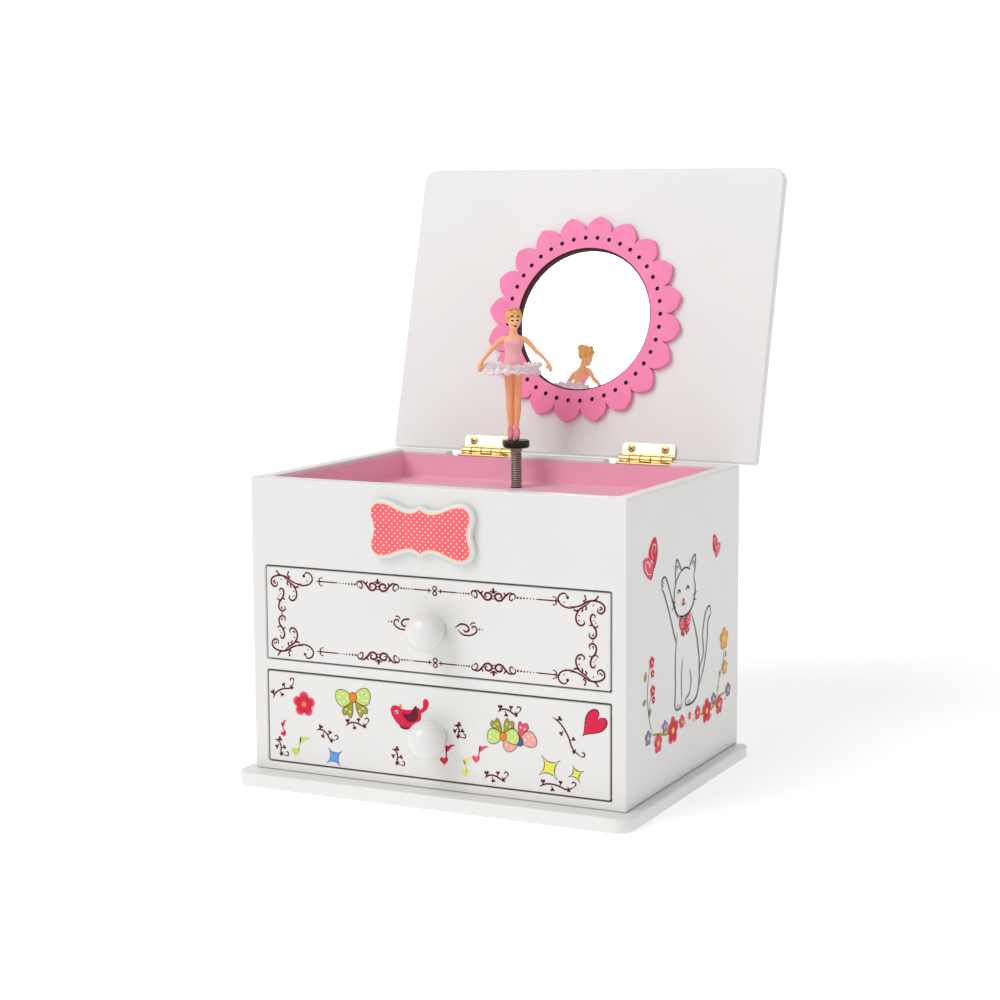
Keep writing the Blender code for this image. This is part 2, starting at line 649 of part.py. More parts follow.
def petal_outline(petals, notch, tip, steps=6):
    """A round edge of pointed petals with sharp notches between them."""
    points = []
    for i in range(petals * steps):
        t = abs((i % steps) / steps * 2 - 1)
        radius = notch + (tip - notch) * (1 - t ** 1.35) ** 0.6
        turn = 2 * pi * i / (petals * steps) - pi / petals
        points.append((radius * cos(turn), radius * sin(turn)))
    return points


def make_lid(coat):
    """The lid's own frame has the hinge axis along X, with the closed lid towards -Y."""
    lid_axis = axis("lid_axis", (LID_X, HINGE_Y, HINGE_Z), Matrix.Rotation(-LID_OPEN, 4, "X"))
    front = LID_BACK - LID_DEPTH
    corners = (BOARD_BACK_CORNER, BOARD_BACK_CORNER, LID_CORNER, LID_CORNER)
    outline = rounded_rectangle((-LID_WIDTH / 2, LID_WIDTH / 2), (front, LID_BACK), corners)
    panel = prism("lid_panel", outline, LID_FACE, LID_FACE + LID_THICKNESS, coat["lacquer"], lid_axis)

    middle = (MIRROR_X, LID_BACK - MIRROR_UP)
    seat = MIRROR_THICKNESS + GAP
    pocket = rod("mirror_pocket", MIRROR_RADIUS + GAP, -THROUGH, seat, 64, coat["lacquer"], lid_axis)
    carve(panel, stand(pocket, *middle, LID_FACE))
    mirror = rod("mirror", MIRROR_RADIUS, 0, MIRROR_THICKNESS, 64, coat["mirror"], lid_axis)
    stand(mirror, *middle, LID_FACE)

    turn = Matrix.Rotation(-pi / 2 - PETAL_TURN, 4, "Z")
    dots = [
        circle(DOT_RADIUS, 6, DOT_CIRCLE * cos(a), DOT_CIRCLE * sin(a))
        for a in (pi * i / PETALS for i in range(2 * PETALS))
    ]
    outlines = [petal_outline(PETALS, RING_NOTCH, RING_TIP), circle(RING_HOLE, 64)] + dots
    ring = fretwork("mirror_ring", outlines, -RING_THICKNESS - GAP, -GAP, coat["pink"], lid_axis)
    stand(ring, *middle, LID_FACE, turn)
    return lid_axis, panel


# ---- Spindle, spring and figure ----------------------------------------------------------------
def make_spindle(coat):
    """The vertical spindle that turns the figure, with its pinion."""
    low = LOWER_PLATE_Z - GAP
    high = FLOOR + LEAN_HEIGHT / 2
    spindle = rod("spindle", SPINDLE_RADIUS, low, high, 16, coat["steel"])
    stand(spindle, SPINDLE_X, SPINDLE_Y, 0)
    to_gear = atan2(CYLINDER_Y - SPINDLE_Y, CYLINDER_X - SPINDLE_X)
    pinion = small_pinion("spindle_pinion", coat)
    turn = Matrix.Rotation(to_gear + pi / PINION_TEETH, 4, "Z")
    carve(spindle, stand(pinion, SPINDLE_X, SPINDLE_Y, 0, turn), "UNION")


def make_figure(coat):
    """The coil spring bends at its own axis; the disc, the dancer and her skirt turn on top of it."""
    bend = axis("bend_axis", (SPINDLE_X, SPINDLE_Y, BEND), Matrix.Rotation(FACING, 4, "Z"))
    low = SPRING_FOOT - BEND
    high = low + SPRING_LENGTH
    tube("coil_spring", SPRING_RADIUS, SPRING_RADIUS - SPRING_WIRE, low, high, 20, coat["steel"], bend)

    spin = axis("figure_axis", (0, 0, DISC_TOP - BEND), parent=bend)
    bevel = DISC_BEVEL
    foot = -DISC_THICKNESS - FERRULE_HEIGHT
    peg = SPRING_RADIUS - SPRING_WIRE - FINE_GAP
    profile = [(0, foot - FERRULE_PEG), (peg, foot - FERRULE_PEG), (peg, foot), (SPRING_RADIUS, foot)]
    profile += [(SPRING_RADIUS, -DISC_THICKNESS), (DISC_RADIUS - bevel, -DISC_THICKNESS)]
    profile += [(DISC_RADIUS, bevel - DISC_THICKNESS), (DISC_RADIUS, -bevel)]
    profile += [(DISC_RADIUS - bevel, 0), (0, 0)]
    turned("figure_disc", profile, 28, coat["disc"], spin)
    make_dancer(spin, coat)
    make_tutu(spin, coat)


# Height over the soles, half width and half depth of the dancer's body, as shares of her height.
BODY_STATIONS = (
    (0.000, 0.036, 0.032), (0.035, 0.047, 0.044), (0.080, 0.046, 0.040), (0.110, 0.043, 0.032),
    (0.220, 0.052, 0.040), (0.300, 0.058, 0.040), (0.380, 0.061, 0.040), (0.480, 0.068, 0.048),
    (0.550, 0.072, 0.056), (0.600, 0.070, 0.054), (0.645, 0.058, 0.044), (0.690, 0.062, 0.046),
    (0.735, 0.070, 0.054), (0.770, 0.068, 0.046), (0.795, 0.040, 0.032), (0.815, 0.028, 0.028),
    (0.835, 0.030, 0.032), (0.860, 0.050, 0.052), (0.915, 0.064, 0.066), (0.965, 0.056, 0.060),
    (1.000, 0.030, 0.034),
)
ARM_STATIONS = (  # sideways, height and radius, as shares of her height
    (0.040, 0.765, 0.020), (0.085, 0.752, 0.019), (0.125, 0.715, 0.017), (0.170, 0.665, 0.016),
    (0.215, 0.625, 0.014), (0.252, 0.580, 0.013), (0.270, 0.535, 0.015), (0.274, 0.505, 0.008),
)


def loft(bm, rings):
    """Skins a stack of rings of equal size and closes both ends."""
    made = [[bm.verts.new(point) for point in ring] for ring in rings]
    for below, above in zip(made, made[1:]):
        for i in range(len(below)):
            j = (i + 1) % len(below)
            bm.faces.new((below[i], below[j], above[j], above[i]))
    bm.faces.new(reversed(made[0]))
    bm.faces.new(made[-1])


def make_dancer(spin, coat):
    sides = 16
    ring_turns = [2 * pi * i / sides for i in range(sides)]

    def body(bm):
        rings = []
        for height, wide, deep in BODY_STATIONS:
            z = height * FIGURE_HEIGHT + GAP
            rings.append([
                (wide * FIGURE_HEIGHT * cos(a), deep * FIGURE_HEIGHT * sin(a), z) for a in ring_turns
            ])
        loft(bm, rings)

    dancer = finish("dancer", mesh_of(body), coat["doll"], spin)
    dancer.location.x = FIGURE_SHIFT
    for side, label in ((-1, "left"), (1, "right")):
        def arm(bm):
            points = [Vector((side * x, 0, z)) * FIGURE_HEIGHT for x, z, _ in ARM_STATIONS]
            rings = []
            last = len(points) - 1
            for i, (point, station) in enumerate(zip(points, ARM_STATIONS)):
                run = (points[min(i + 1, last)] - points[max(i - 1, 0)]).normalized()
                across = Vector((0, 1, 0))
                outwards = run.cross(across)
                radius = station[2] * FIGURE_HEIGHT
                turns = [2 * pi * j / 10 for j in range(10)]
                rings.append([point + radius * (cos(a) * across + sin(a) * outwards) for a in turns])
            loft(bm, rings)

        limb = finish(f"{label}_arm", mesh_of(arm), coat["doll"], spin)
        limb.location.x = FIGURE_SHIFT
        carve(dancer, limb, "UNION")


def make_tutu(spin, coat):
    """A waved ring round the hips, thick enough to stand for the ruffles."""
    sides = TUTU_WAVES * 4
    hip = max(wide for height, wide, _ in BODY_STATIONS if 0.4 < height < 0.65) * FIGURE_HEIGHT + GAP

    def build(bm):
        rings = []
        section = ((hip, 0.6, 0.0), (TUTU_RADIUS * 0.75, 0.1, 0.5), (TUTU_RADIUS, 0.5, 1.0))
        section += ((TUTU_RADIUS * 0.97, 0.9, 1.0), (TUTU_RADIUS * 0.7, 0.65, 0.5), (hip, 1.0, 0.0))
        for i in range(sides):
            turn = 2 * pi * i / sides
            wave = TUTU_WAVE * cos(TUTU_WAVES * turn)
            rings.append([
                bm.verts.new((
                    radius * cos(turn),
                    radius * sin(turn),
                    TUTU_HEIGHT + TUTU_THICKNESS * (height - 0.5) + wave * amount,
                ))
                for radius, height, amount in section
            ])
        for i in range(sides):
            for j in range(len(section)):
                here, there = rings[i], rings[(i + 1) % sides]
                k = (j + 1) % len(section)
                bm.faces.new((here[j], here[k], there[k], there[j]))

    tutu = finish("tutu", mesh_of(build), coat["tutu"], spin)
    tutu.location.x = FIGURE_SHIFT


# ---- Movement ----------------------------------------------------------------------------------
PRESSURE = radians(20)
GEAR_FILL = 0.44        # share of the pitch that a tooth fills
PINION_FILL = 0.38
GEAR_TIP = 0.6          # tooth height over the pitch circle, in modules
GEAR_ROOT = 1.1         # and under it
PINION_TIP = 0.75
PINION_ROOT = 0.85


def gear_outline(teeth, fill, tip, root):
    """Involute teeth, the first one centred on +X."""
    pitch_radius = MODULE * teeth / 2
    base_radius = pitch_radius * cos(PRESSURE)

    def half_angle(radius):
        lean = acos(min(base_radius / radius, 1.0))
        return pi * fill / teeth + (tan(PRESSURE) - PRESSURE) - (tan(lean) - lean)

    root_radius = pitch_radius - MODULE * root
    tip_radius = pitch_radius + MODULE * tip
    levels = [root_radius] + [base_radius + (tip_radius - base_radius) * i / 2 for i in range(3)]
    levels = [level for level in levels if level >= root_radius]
    points = []
    for tooth in range(teeth):
        middle = 2 * pi * tooth / teeth
        flank = [(radius, half_angle(max(radius, base_radius))) for radius in levels]
        points += [(r * cos(middle - a), r * sin(middle - a)) for r, a in flank]
        points += [(r * cos(middle + a), r * sin(middle + a)) for r, a in reversed(flank)]
    return points


def small_pinion(name, coat):
    outline = gear_outline(PINION_TEETH, PINION_FILL, PINION_TIP, PINION_ROOT)
    return prism(name, outline, GEAR_Z, GEAR_Z + GEAR_THICKNESS, coat["brass"])


def make_cylinder(coat):
    """The pinned cylinder on its shaft, with the pinion that drives it below and its gear on top."""
    brass = coat["brass"]
    low = LANTERN_Z - LANTERN_LENGTH / 2 - GAP
    high = UPPER_PLATE_Z + PLATE + GAP
    drum_top = DRUM_Z + CYLINDER_LENGTH
    profile = [(0, low), (SHAFT, low), (SHAFT, DRUM_Z), (CYLINDER_RADIUS, DRUM_Z)]
    profile += [(CYLINDER_RADIUS, drum_top), (SHAFT, drum_top), (SHAFT, high), (0, high)]
    drum = turned("cylinder", profile, 40, brass)

    def pins(bm):
        """A tune pin for each of the comb's teeth, spread round the drum."""
        pitch = CYLINDER_LENGTH / COMB_TEETH
        for number in range(COMB_TEETH):
            turn = 2 * pi * (number * 0.618034 % 1)
            height = DRUM_Z + pitch * (number + 0.5)
            place = Matrix.Rotation(turn, 4, "Z") @ Matrix.Translation((CYLINDER_RADIUS, 0, height))
            bmesh.ops.create_cube(bm, size=2 * CYLINDER_PIN, matrix=place)

    pin_set = finish("tune_pins", mesh_of(pins), brass, smooth=False)
    stand(drum, CYLINDER_X, CYLINDER_Y, 0)
    carve(drum, stand(pin_set, CYLINDER_X, CYLINDER_Y, 0), "UNION")

    to_spindle = atan2(SPINDLE_Y - CYLINDER_Y, SPINDLE_X - CYLINDER_X)
    outline = gear_outline(CYLINDER_TEETH, GEAR_FILL, GEAR_TIP, GEAR_ROOT)
    gear = prism("cylinder_gear", outline, GEAR_Z, GEAR_Z + GEAR_THICKNESS, brass)
    carve(drum, stand(gear, CYLINDER_X, CYLINDER_Y, 0, Matrix.Rotation(to_spindle, 4, "Z")), "UNION")

    half = LANTERN_LENGTH / 2
    lantern = prism("cylinder_pinion", lantern_outline(), LANTERN_Z - half, LANTERN_Z + half, brass)
    turn = Matrix.Rotation(pi / 2 + pi / PINION_TEETH, 4, "Z")
    carve(drum, stand(lantern, CYLINDER_X, CYLINDER_Y, 0, turn), "UNION")
    return to_spindle


def lantern_outline():
    """A hub with thin straight blades, the first one centred on +X."""
    hub = LANTERN_RADIUS - PEG_DEPTH - PEG_RADIUS - 2 * FINE_GAP
    tip = LANTERN_RADIUS + PEG_DEPTH / 2
    points = []
    for blade in range(PINION_TEETH):
        middle = 2 * pi * blade / PINION_TEETH
        for radius, side in ((hub, -1), (tip, -1), (tip, 1), (hub, 1)):
            turn = middle + side * asin(LANTERN_BLADE / 2 / radius)
            points.append((radius * cos(turn), radius * sin(turn)))
    return points


def make_winding(coat):
    """The arbor through the back, with the pegged drive wheel inside and the key outside."""
    steel = coat["steel"]
    end = BACK + ARBOR_REACH
    start = -WHEEL_THICKNESS - 2 * GAP
    arbor = rod("winding_arbor", ARBOR, start, end - WHEEL_BACK, 16, steel)
    wheel = rod("drive_wheel", WHEEL_RADIUS, 0, WHEEL_THICKNESS, 48, coat["brass"])
    stand(wheel, CYLINDER_X, WHEEL_BACK, WHEEL_Z, ALONG_FRONT)
    carve(wheel, stand(arbor, CYLINDER_X, WHEEL_BACK, WHEEL_Z, ALONG_BACK), "UNION")
    reach = WHEEL_BACK - PEG_TIP_Y

    def pegs(bm):
        for i in range(WHEEL_PEGS):
            place = Matrix.Rotation(2 * pi * i / WHEEL_PEGS, 4, "Z")
            middle = (WHEEL_THICKNESS / 2 + reach) / 2
            place = place @ Matrix.Translation((WHEEL_PEG_CIRCLE, 0, middle))
            depth = reach - WHEEL_THICKNESS / 2
            round_peg = {"radius1": PEG_RADIUS, "radius2": PEG_RADIUS, "depth": depth}
            bmesh.ops.create_cone(bm, cap_ends=True, segments=6, matrix=place, **round_peg)

    peg_set = finish("wheel_pegs", mesh_of(pegs), coat["brass"])
    carve(wheel, stand(peg_set, CYLINDER_X, WHEEL_BACK, WHEEL_Z, ALONG_FRONT), "UNION")

    # the key: a stem on the arbor and two flat lobes
    stem_end = ARBOR_REACH + KEY_CAP
    foot = stem_end - KEY_STEM_LENGTH
    shoulder = stem_end - KEY_CAP / 2
    profile = [(0, foot), (KEY_STEM, foot), (KEY_STEM, shoulder), (KEY_STEM * 0.6, stem_end), (0, stem_end)]
    key = turned("winding_key", profile, 20, coat["brass"])
    stand(key, CYLINDER_X, BACK, WHEEL_Z, ALONG_BACK)
    lobe_x = KEY_SPAN - KEY_LOBE
    half = KEY_THICKNESS / 2
    outlines = [capsule(lobe_x, KEY_LOBE, 10)]
    outlines += [circle(KEY_EYE, 12, sign * lobe_x * 1.15, 0) for sign in (-1, 1)]
    wings = fretwork("key_wings", outlines, -half, half, coat["brass"])
    stand(wings, CYLINDER_X, BACK + stem_end + KEY_LOBE * 0.55, WHEEL_Z)
    carve(key, wings, "UNION")
    bore = rod("key_bore", ARBOR + FINE_GAP, foot - THROUGH, ARBOR_REACH + FINE_GAP, 16, steel)
    carve(key, stand(bore, CYLINDER_X, BACK, WHEEL_Z, ALONG_BACK))


def capsule(half, radius, steps):
    """A flat bar with round ends, along X."""
    points = []
    for side in (1, -1):
        for i in range(steps + 1):
            turn = -side * pi / 2 + pi * i / steps
            points.append((side * half + radius * cos(turn), radius * sin(turn)))
    return points


def make_plates(governor, coat):
    """The bedplate on the back panel, the two plates that hold the shafts, and the spring's housing."""
    brass = coat["brass"]
    low = SHELF_TOP + 3 * GAP
    high = UPPER_PLATE_Z + PLATE + 3 * GAP
    left = CYLINDER_X - BEDPLATE_LEFT
    right = left + BEDPLATE_WIDTH
    bed_y = (BEDPLATE_FRONT, BEDPLATE_FRONT + BEDPLATE)
    bedplate = board("bedplate", (left, right), bed_y, (low, high), coat["steel"])
    hole = rod("bedplate_bore", ARBOR + 2 * FINE_GAP, -THROUGH, THROUGH, 16, brass)
    carve(bedplate, stand(hole, CYLINDER_X, BEDPLATE_FRONT, WHEEL_Z, ALONG_BACK))

    front = CYLINDER_Y - 2.5 * SHAFT
    plate_back = BEDPLATE_FRONT - FINE_GAP
    plate_left = SPINDLE_X - 2.5 * SHAFT
    plate_right = governor[0] + 2.5 * SHAFT
    holes = [
        circle(SHAFT + BORE_PLAY, 16, CYLINDER_X, CYLINDER_Y),
        circle(SPINDLE_RADIUS + BORE_PLAY, 16, SPINDLE_X, SPINDLE_Y),
        circle(GOVERNOR_SHAFT + BORE_PLAY, 16, *governor),
    ]

    def plate(name, level, end):
        outline = [(plate_left, front), (plate_right, front), (plate_right, end), (plate_left, end)]
        return fretwork(name, [outline] + holes, level, level + PLATE, brass)

    plate("upper_bearing_plate", UPPER_PLATE_Z, plate_back)
    shelf = plate("lower_bearing_shelf", LOWER_PLATE_Z, BEDPLATE_FRONT + BEDPLATE / 2)
    carve(bedplate, shelf, "UNION")
    block_x = (right - COMB_BLOCK, right)
    block_y = (CYLINDER_Y + COMB_THICKNESS / 2 + FINE_GAP, BEDPLATE_FRONT + BEDPLATE / 2)
    block = board("comb_block", block_x, block_y, (DRUM_Z, DRUM_Z + CYLINDER_LENGTH), brass)
    carve(bedplate, block, "UNION")
    bore = rod("block_bore", SHAFT + FINE_GAP, -COMB_SCREW_LENGTH, THROUGH, 12, brass)
    place = (right - COMB_BLOCK / 2, block_y[0], DRUM_Z + CYLINDER_LENGTH / 2)
    carve(bedplate, stand(bore, *place, ALONG_FRONT))

    open_end = BEDPLATE_FRONT - WHEEL_BACK - 2 * GAP
    housing = rod("spring_housing", HOUSING_RADIUS, FINE_GAP, open_end, 40, coat["steel"])
    stand(housing, CYLINDER_X, BEDPLATE_FRONT, WHEEL_Z, ALONG_FRONT)
    floor = open_end - HOUSING_WALL
    hollow = rod("housing_hollow", HOUSING_RADIUS - HOUSING_WALL, -THROUGH, floor, 40, brass)
    carve(housing, stand(hollow, CYLINDER_X, BEDPLATE_FRONT, WHEEL_Z, ALONG_FRONT))
    hole = rod("housing_bore", ARBOR + 2 * FINE_GAP, -THROUGH, open_end + THROUGH, 16, brass)
    carve(housing, stand(hole, CYLINDER_X, BEDPLATE_FRONT, WHEEL_Z, ALONG_FRONT))


def make_mainspring(coat):
    """The flat spring in its housing, as one band wound round the arbor."""
    turns = MAINSPRING_TURNS
    steps = 12 * turns
    inner = ARBOR + 4 * FINE_GAP
    outer = HOUSING_RADIUS - HOUSING_WALL - 3 * FINE_GAP
    half = MAINSPRING_THICKNESS / 2

    def ring(offset):
        points = []
        for i in range(steps + 1):
            turn = 2 * pi * turns * i / steps
            radius = inner + half + (outer - inner - 2 * half) * i / steps + offset
            points.append((radius * cos(turn), radius * sin(turn)))
        return points

    outline = ring(half) + list(reversed(ring(-half)))
    depth = BEDPLATE_FRONT - WHEEL_BACK - 2 * GAP - HOUSING_WALL
    spring = prism("mainspring", outline, 3 * FINE_GAP, depth - 2 * FINE_GAP, coat["steel"])
    stand(spring, CYLINDER_X, BEDPLATE_FRONT, WHEEL_Z, ALONG_FRONT)


def make_governor(centre, turn, coat):
    """The air brake: a pinion and a flat vane on a slim shaft."""
    low = LOWER_PLATE_Z - GAP
    high = UPPER_PLATE_Z + PLATE + GAP
    fan = rod("governor_fan", GOVERNOR_SHAFT, low, high, 12, coat["steel"])
    stand(fan, *centre, 0)
    span = (-VANE_RADIUS, VANE_RADIUS)
    heights = (DRUM_Z + VANE_END, DRUM_Z + CYLINDER_LENGTH - VANE_END)
    half = VANE_THICKNESS / 2
    vane = board("governor_vane", span, (-half, half), heights, coat["steel"])
    vane.location += Vector((*centre, 0))
    carve(fan, vane, "UNION")
    pinion = small_pinion("governor_pinion", coat)
    place = Matrix.Rotation(turn + pi + pi / PINION_TEETH, 4, "Z")
    carve(fan, stand(pinion, *centre, 0, place), "UNION")


def make_comb(coat):
    """The tuned comb, screwed on the bedplate's block."""
    steel = coat["steel"]
    tip = CYLINDER_X + CYLINDER_RADIUS + CYLINDER_PIN + 3 * GAP
    end = CYLINDER_X - BEDPLATE_LEFT + BEDPLATE_WIDTH
    root = end - COMB_BLOCK
    pitch = CYLINDER_LENGTH / COMB_TEETH
    slit = COMB_SLIT / 2
    outline = [(end, 0)]
    for tooth in range(COMB_TEETH):
        low = tooth * pitch + (slit if tooth > 0 else 0)
        high = (tooth + 1) * pitch - (slit if tooth < COMB_TEETH - 1 else 0)
        ends = [(tip, low), (tip, high)]
        if tooth > 0:
            ends.insert(0, (root, low))
        if tooth < COMB_TEETH - 1:
            ends.append((root, high))
        outline += ends
    outline.append((end, CYLINDER_LENGTH))
    hole_x = end - COMB_BLOCK / 2
    hole = circle(SHAFT + FINE_GAP, 12, hole_x, CYLINDER_LENGTH / 2)
    comb = fretwork("comb", [outline, hole], -COMB_THICKNESS / 2, COMB_THICKNESS / 2, steel)
    stand(comb, 0, CYLINDER_Y, DRUM_Z, ALONG_FRONT)

    point = SHAFT / 2 - COMB_SCREW_LENGTH
    profile = [(0, point), (SHAFT, point + SHAFT / 2), (SHAFT, 0), (2 * SHAFT, 0)]
    profile += [(2 * SHAFT, 0.8 * SHAFT), (0, SHAFT)]
    screw = turned("comb_screw", profile, 12, steel)
    screw_y = CYLINDER_Y - COMB_THICKNESS / 2 - FINE_GAP
    stand(screw, hole_x, screw_y, DRUM_Z + CYLINDER_LENGTH / 2, ALONG_FRONT)


def make_movement(coat):
    to_spindle = make_cylinder(coat)
    turn = to_spindle - 2 * pi * GOVERNOR_STEP / CYLINDER_TEETH
    governor = (CYLINDER_X + GEAR_CENTRES * cos(turn), CYLINDER_Y + GEAR_CENTRES * sin(turn))
    make_plates(governor, coat)
    make_mainspring(coat)
    make_winding(coat)
    make_governor(governor, turn, coat)
    make_comb(coat)


# ---- Whole object ------------------------------------------------------------------------------
def main():
    for leftover in list(bpy.data.objects):
        bpy.data.objects.remove(leftover)
    coat = make_materials()
    back_panel = make_case(coat)
    make_lining(coat)
    make_plaque(coat)
    lower_bay = SHELF_BOTTOM - LOWER_BAY
    make_drawer("lower_drawer", lower_bay, SHELF_BOTTOM, INNER_BACK - DRAWER_END_PLAY, coat)
    upper_end = PARTITION_BACK - THIN_BOARD - DRAWER_END_PLAY
    make_drawer("upper_drawer", SHELF_TOP, UPPER_BAY_TOP, upper_end, coat)
    lid_axis, lid_panel = make_lid(coat)
    for side, sign in (("left", -1), ("right", 1)):
        make_hinge(side, sign * HINGE_SPACING / 2, back_panel, lid_panel, lid_axis, coat)
    make_movement(coat)
    make_spindle(coat)
    make_figure(coat)


if __name__ == "__main__":
    main()
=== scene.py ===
"""Finishes and fine shapes for a white wind-up music box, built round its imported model.

Metres, +Z up. X is to the right and -Y is the front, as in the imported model.
"""

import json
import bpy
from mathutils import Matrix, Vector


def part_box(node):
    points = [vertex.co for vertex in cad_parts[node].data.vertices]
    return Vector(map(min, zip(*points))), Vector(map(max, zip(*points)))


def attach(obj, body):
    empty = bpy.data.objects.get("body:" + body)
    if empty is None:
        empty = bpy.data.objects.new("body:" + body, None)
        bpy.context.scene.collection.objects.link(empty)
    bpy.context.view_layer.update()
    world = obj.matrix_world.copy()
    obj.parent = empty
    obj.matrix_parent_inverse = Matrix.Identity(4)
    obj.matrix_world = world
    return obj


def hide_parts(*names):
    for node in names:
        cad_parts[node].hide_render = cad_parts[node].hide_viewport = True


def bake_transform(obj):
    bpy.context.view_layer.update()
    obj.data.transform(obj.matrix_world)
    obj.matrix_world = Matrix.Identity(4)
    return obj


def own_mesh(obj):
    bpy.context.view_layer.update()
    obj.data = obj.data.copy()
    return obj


bl_info = {
    "name": "Music Box Finish",
    "version": (1, 0, 0),
    "blender": (4, 5, 0),
    "location": "View3D > Sidebar > Music Box",
    "description": "Builds the finished pieces of a wind-up music box round its packed model",
    "category": "Object",
}

from math import atan2, cos, pi, radians, sin, sqrt

import bmesh
import bpy
from mathutils import Matrix, Vector
from mathutils.bvhtree import BVHTree
from mathutils.geometry import tessellate_polygon

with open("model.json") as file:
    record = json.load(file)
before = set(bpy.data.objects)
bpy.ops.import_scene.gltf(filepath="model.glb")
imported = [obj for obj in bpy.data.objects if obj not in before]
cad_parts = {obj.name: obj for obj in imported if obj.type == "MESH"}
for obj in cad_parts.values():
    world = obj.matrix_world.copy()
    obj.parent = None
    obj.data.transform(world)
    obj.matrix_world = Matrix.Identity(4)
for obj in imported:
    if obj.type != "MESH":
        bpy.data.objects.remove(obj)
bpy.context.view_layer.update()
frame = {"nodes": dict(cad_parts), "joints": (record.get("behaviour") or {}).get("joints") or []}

JOINTS = {joint["name"]: joint for joint in frame["joints"]}
HINGE = Vector(JOINTS["lid_hinge"]["pos_m"])
BEND = Vector(JOINTS["figure_lean"]["pos_m"])
BEND_ACROSS = Vector(JOINTS["figure_lean"]["axis"])
SPIN = Vector(JOINTS["figure_spin"]["pos_m"])
FACING = atan2(BEND_ACROSS.y, BEND_ACROSS.x)
ARBOR = Vector(JOINTS["key_spin"]["pos_m"])
CASE_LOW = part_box("left_side")[0]
CASE_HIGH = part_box("right_side")[1]
RIM = CASE_HIGH.z
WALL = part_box("left_side")[1].x - CASE_LOW.x
LID_OPEN = radians(105)
SHUT_GAP = 0.0003  # fit left between pieces that meet


# ---- Settings a user would change ----
def colour_of(name, description, default):
    return bpy.props.FloatVectorProperty(
        name=name, description=description, default=default, subtype="COLOR", size=3, min=0.0, max=1.0
    )


def length_of(name, description, default):
    return bpy.props.FloatProperty(
        name=name, description=description, default=default, min=0.0, unit="LENGTH", precision=4
    )


def amount_of(name, description, default, least=0.0):
    return bpy.props.FloatProperty(name=name, description=description, default=default, min=least)


class CaseSettings(bpy.types.PropertyGroup):
    """Sizes and colours of the case, the base and the lid."""

    lacquer: colour_of("Lacquer", "White satin lacquer on every outer board", (0.80, 0.795, 0.78))
    board: colour_of("Board", "Bare board inside the case", (0.55, 0.40, 0.25))
    edge_radius: length_of("Edge radius", "Rounding of the case's edges", 0.0007)
    base_radius: length_of("Base edge radius", "Rounding of the base plate's edges", 0.0011)
    base_corner: length_of("Base corner radius", "Radius of the base plate's front corners", 0.007)
    lid_radius: length_of("Lid edge radius", "Rounding of the lid's edges", 0.0008)
    lid_corner: length_of("Lid corner radius", "Radius of the lid's front corners", 0.0055)
    back_corner: length_of("Back corner radius", "Radius of the boards' back corners", 0.0015)


class MirrorSettings(bpy.types.PropertyGroup):
    """Sizes and colours of the mirror's scalloped ring."""

    pink: colour_of("Ring pink", "Paint on the ring's face", (0.97, 0.24, 0.47))
    scorch_and_shade: colour_of("Cut edge", "Scorched board and painted shade on the ring's cut edges", (0.10, 0.022, 0.030))
    petals: bpy.props.IntProperty(name="Petals", description="Petals round the ring", default=20, min=3)
    hole: length_of("Opening radius", "Radius of the ring's opening", 0.031)
    notch: length_of("Notch radius", "Radius at the notches between the petals", 0.0385)
    tip: length_of("Tip radius", "Radius at the petals' tips", 0.0450)
    dot_circle: length_of("Dot circle", "Radius of the circle of small holes", 0.0355)
    dot: length_of("Dot radius", "Radius of each small hole", 0.00088)


class TraySettings(bpy.types.PropertyGroup):
    """The flocked lining of the tray."""

    pink: colour_of("Lining pink", "Flocked lining", (0.95, 0.50, 0.63))
    corner: length_of("Corner radius", "Radius of the lining's inner corners", 0.0012)


class MetalSettings(bpy.types.PropertyGroup):
    """Colours of the metal pieces."""

    brass: colour_of("Brass", "Polished brass plate", (0.88, 0.74, 0.46))
    steel: colour_of("Steel", "Darkened spring steel", (0.30, 0.285, 0.22))


class DancerSettings(bpy.types.PropertyGroup):
    """Colours of the dancer."""

    skin: colour_of("Skin", "Bare plastic of face, arms and legs", (0.97, 0.50, 0.25))
    bodice: colour_of("Bodice", "Pink bodice", (0.94, 0.42, 0.45))
    shoe: colour_of("Shoes", "Pink shoes", (0.92, 0.32, 0.40))
    hair: colour_of("Hair", "Golden hair", (0.95, 0.58, 0.13))
    tutu: colour_of("Tutu", "White ruffle", (0.87, 0.84, 0.82))
    disc: colour_of("Disc", "Dark stand of the dancer", (0.006, 0.012, 0.005))


class StageSettings(bpy.types.PropertyGroup):
    """Floor, lights and camera."""

    floor: colour_of("Floor", "Plain pale floor", (0.90, 0.90, 0.90))
    ambient: amount_of("Ambient", "Strength of the even light", 0.50)
    sun: amount_of("Sun", "Strength of the main light", 1.0)
    glow: amount_of("Floor glow", "Light given off by the lit floor", 0.38)
    lens: amount_of("Lens", "Focal length in mm", 76.9, 1.0)


SETTINGS = (
    ("case", CaseSettings),
    ("mirror", MirrorSettings),
    ("tray", TraySettings),
    ("metal", MetalSettings),
    ("dancer", DancerSettings),
    ("stage", StageSettings),
)


def setting(group):
    return getattr(bpy.context.scene, "music_box_" + group)


# ---- Shader groups ----
def shader_group(name, inputs, outputs):
    """A new shader node group with its sockets, and its input and output nodes."""
    group = bpy.data.node_groups.new(name, "ShaderNodeTree")
    for label, kind, default in inputs:
        socket = group.interface.new_socket(label, in_out="INPUT", socket_type=kind)
        socket.default_value = default
    for label, kind in outputs:
        group.interface.new_socket(label, in_out="OUTPUT", socket_type=kind)
    return group, group.nodes.new("NodeGroupInput"), group.nodes.new("NodeGroupOutput")


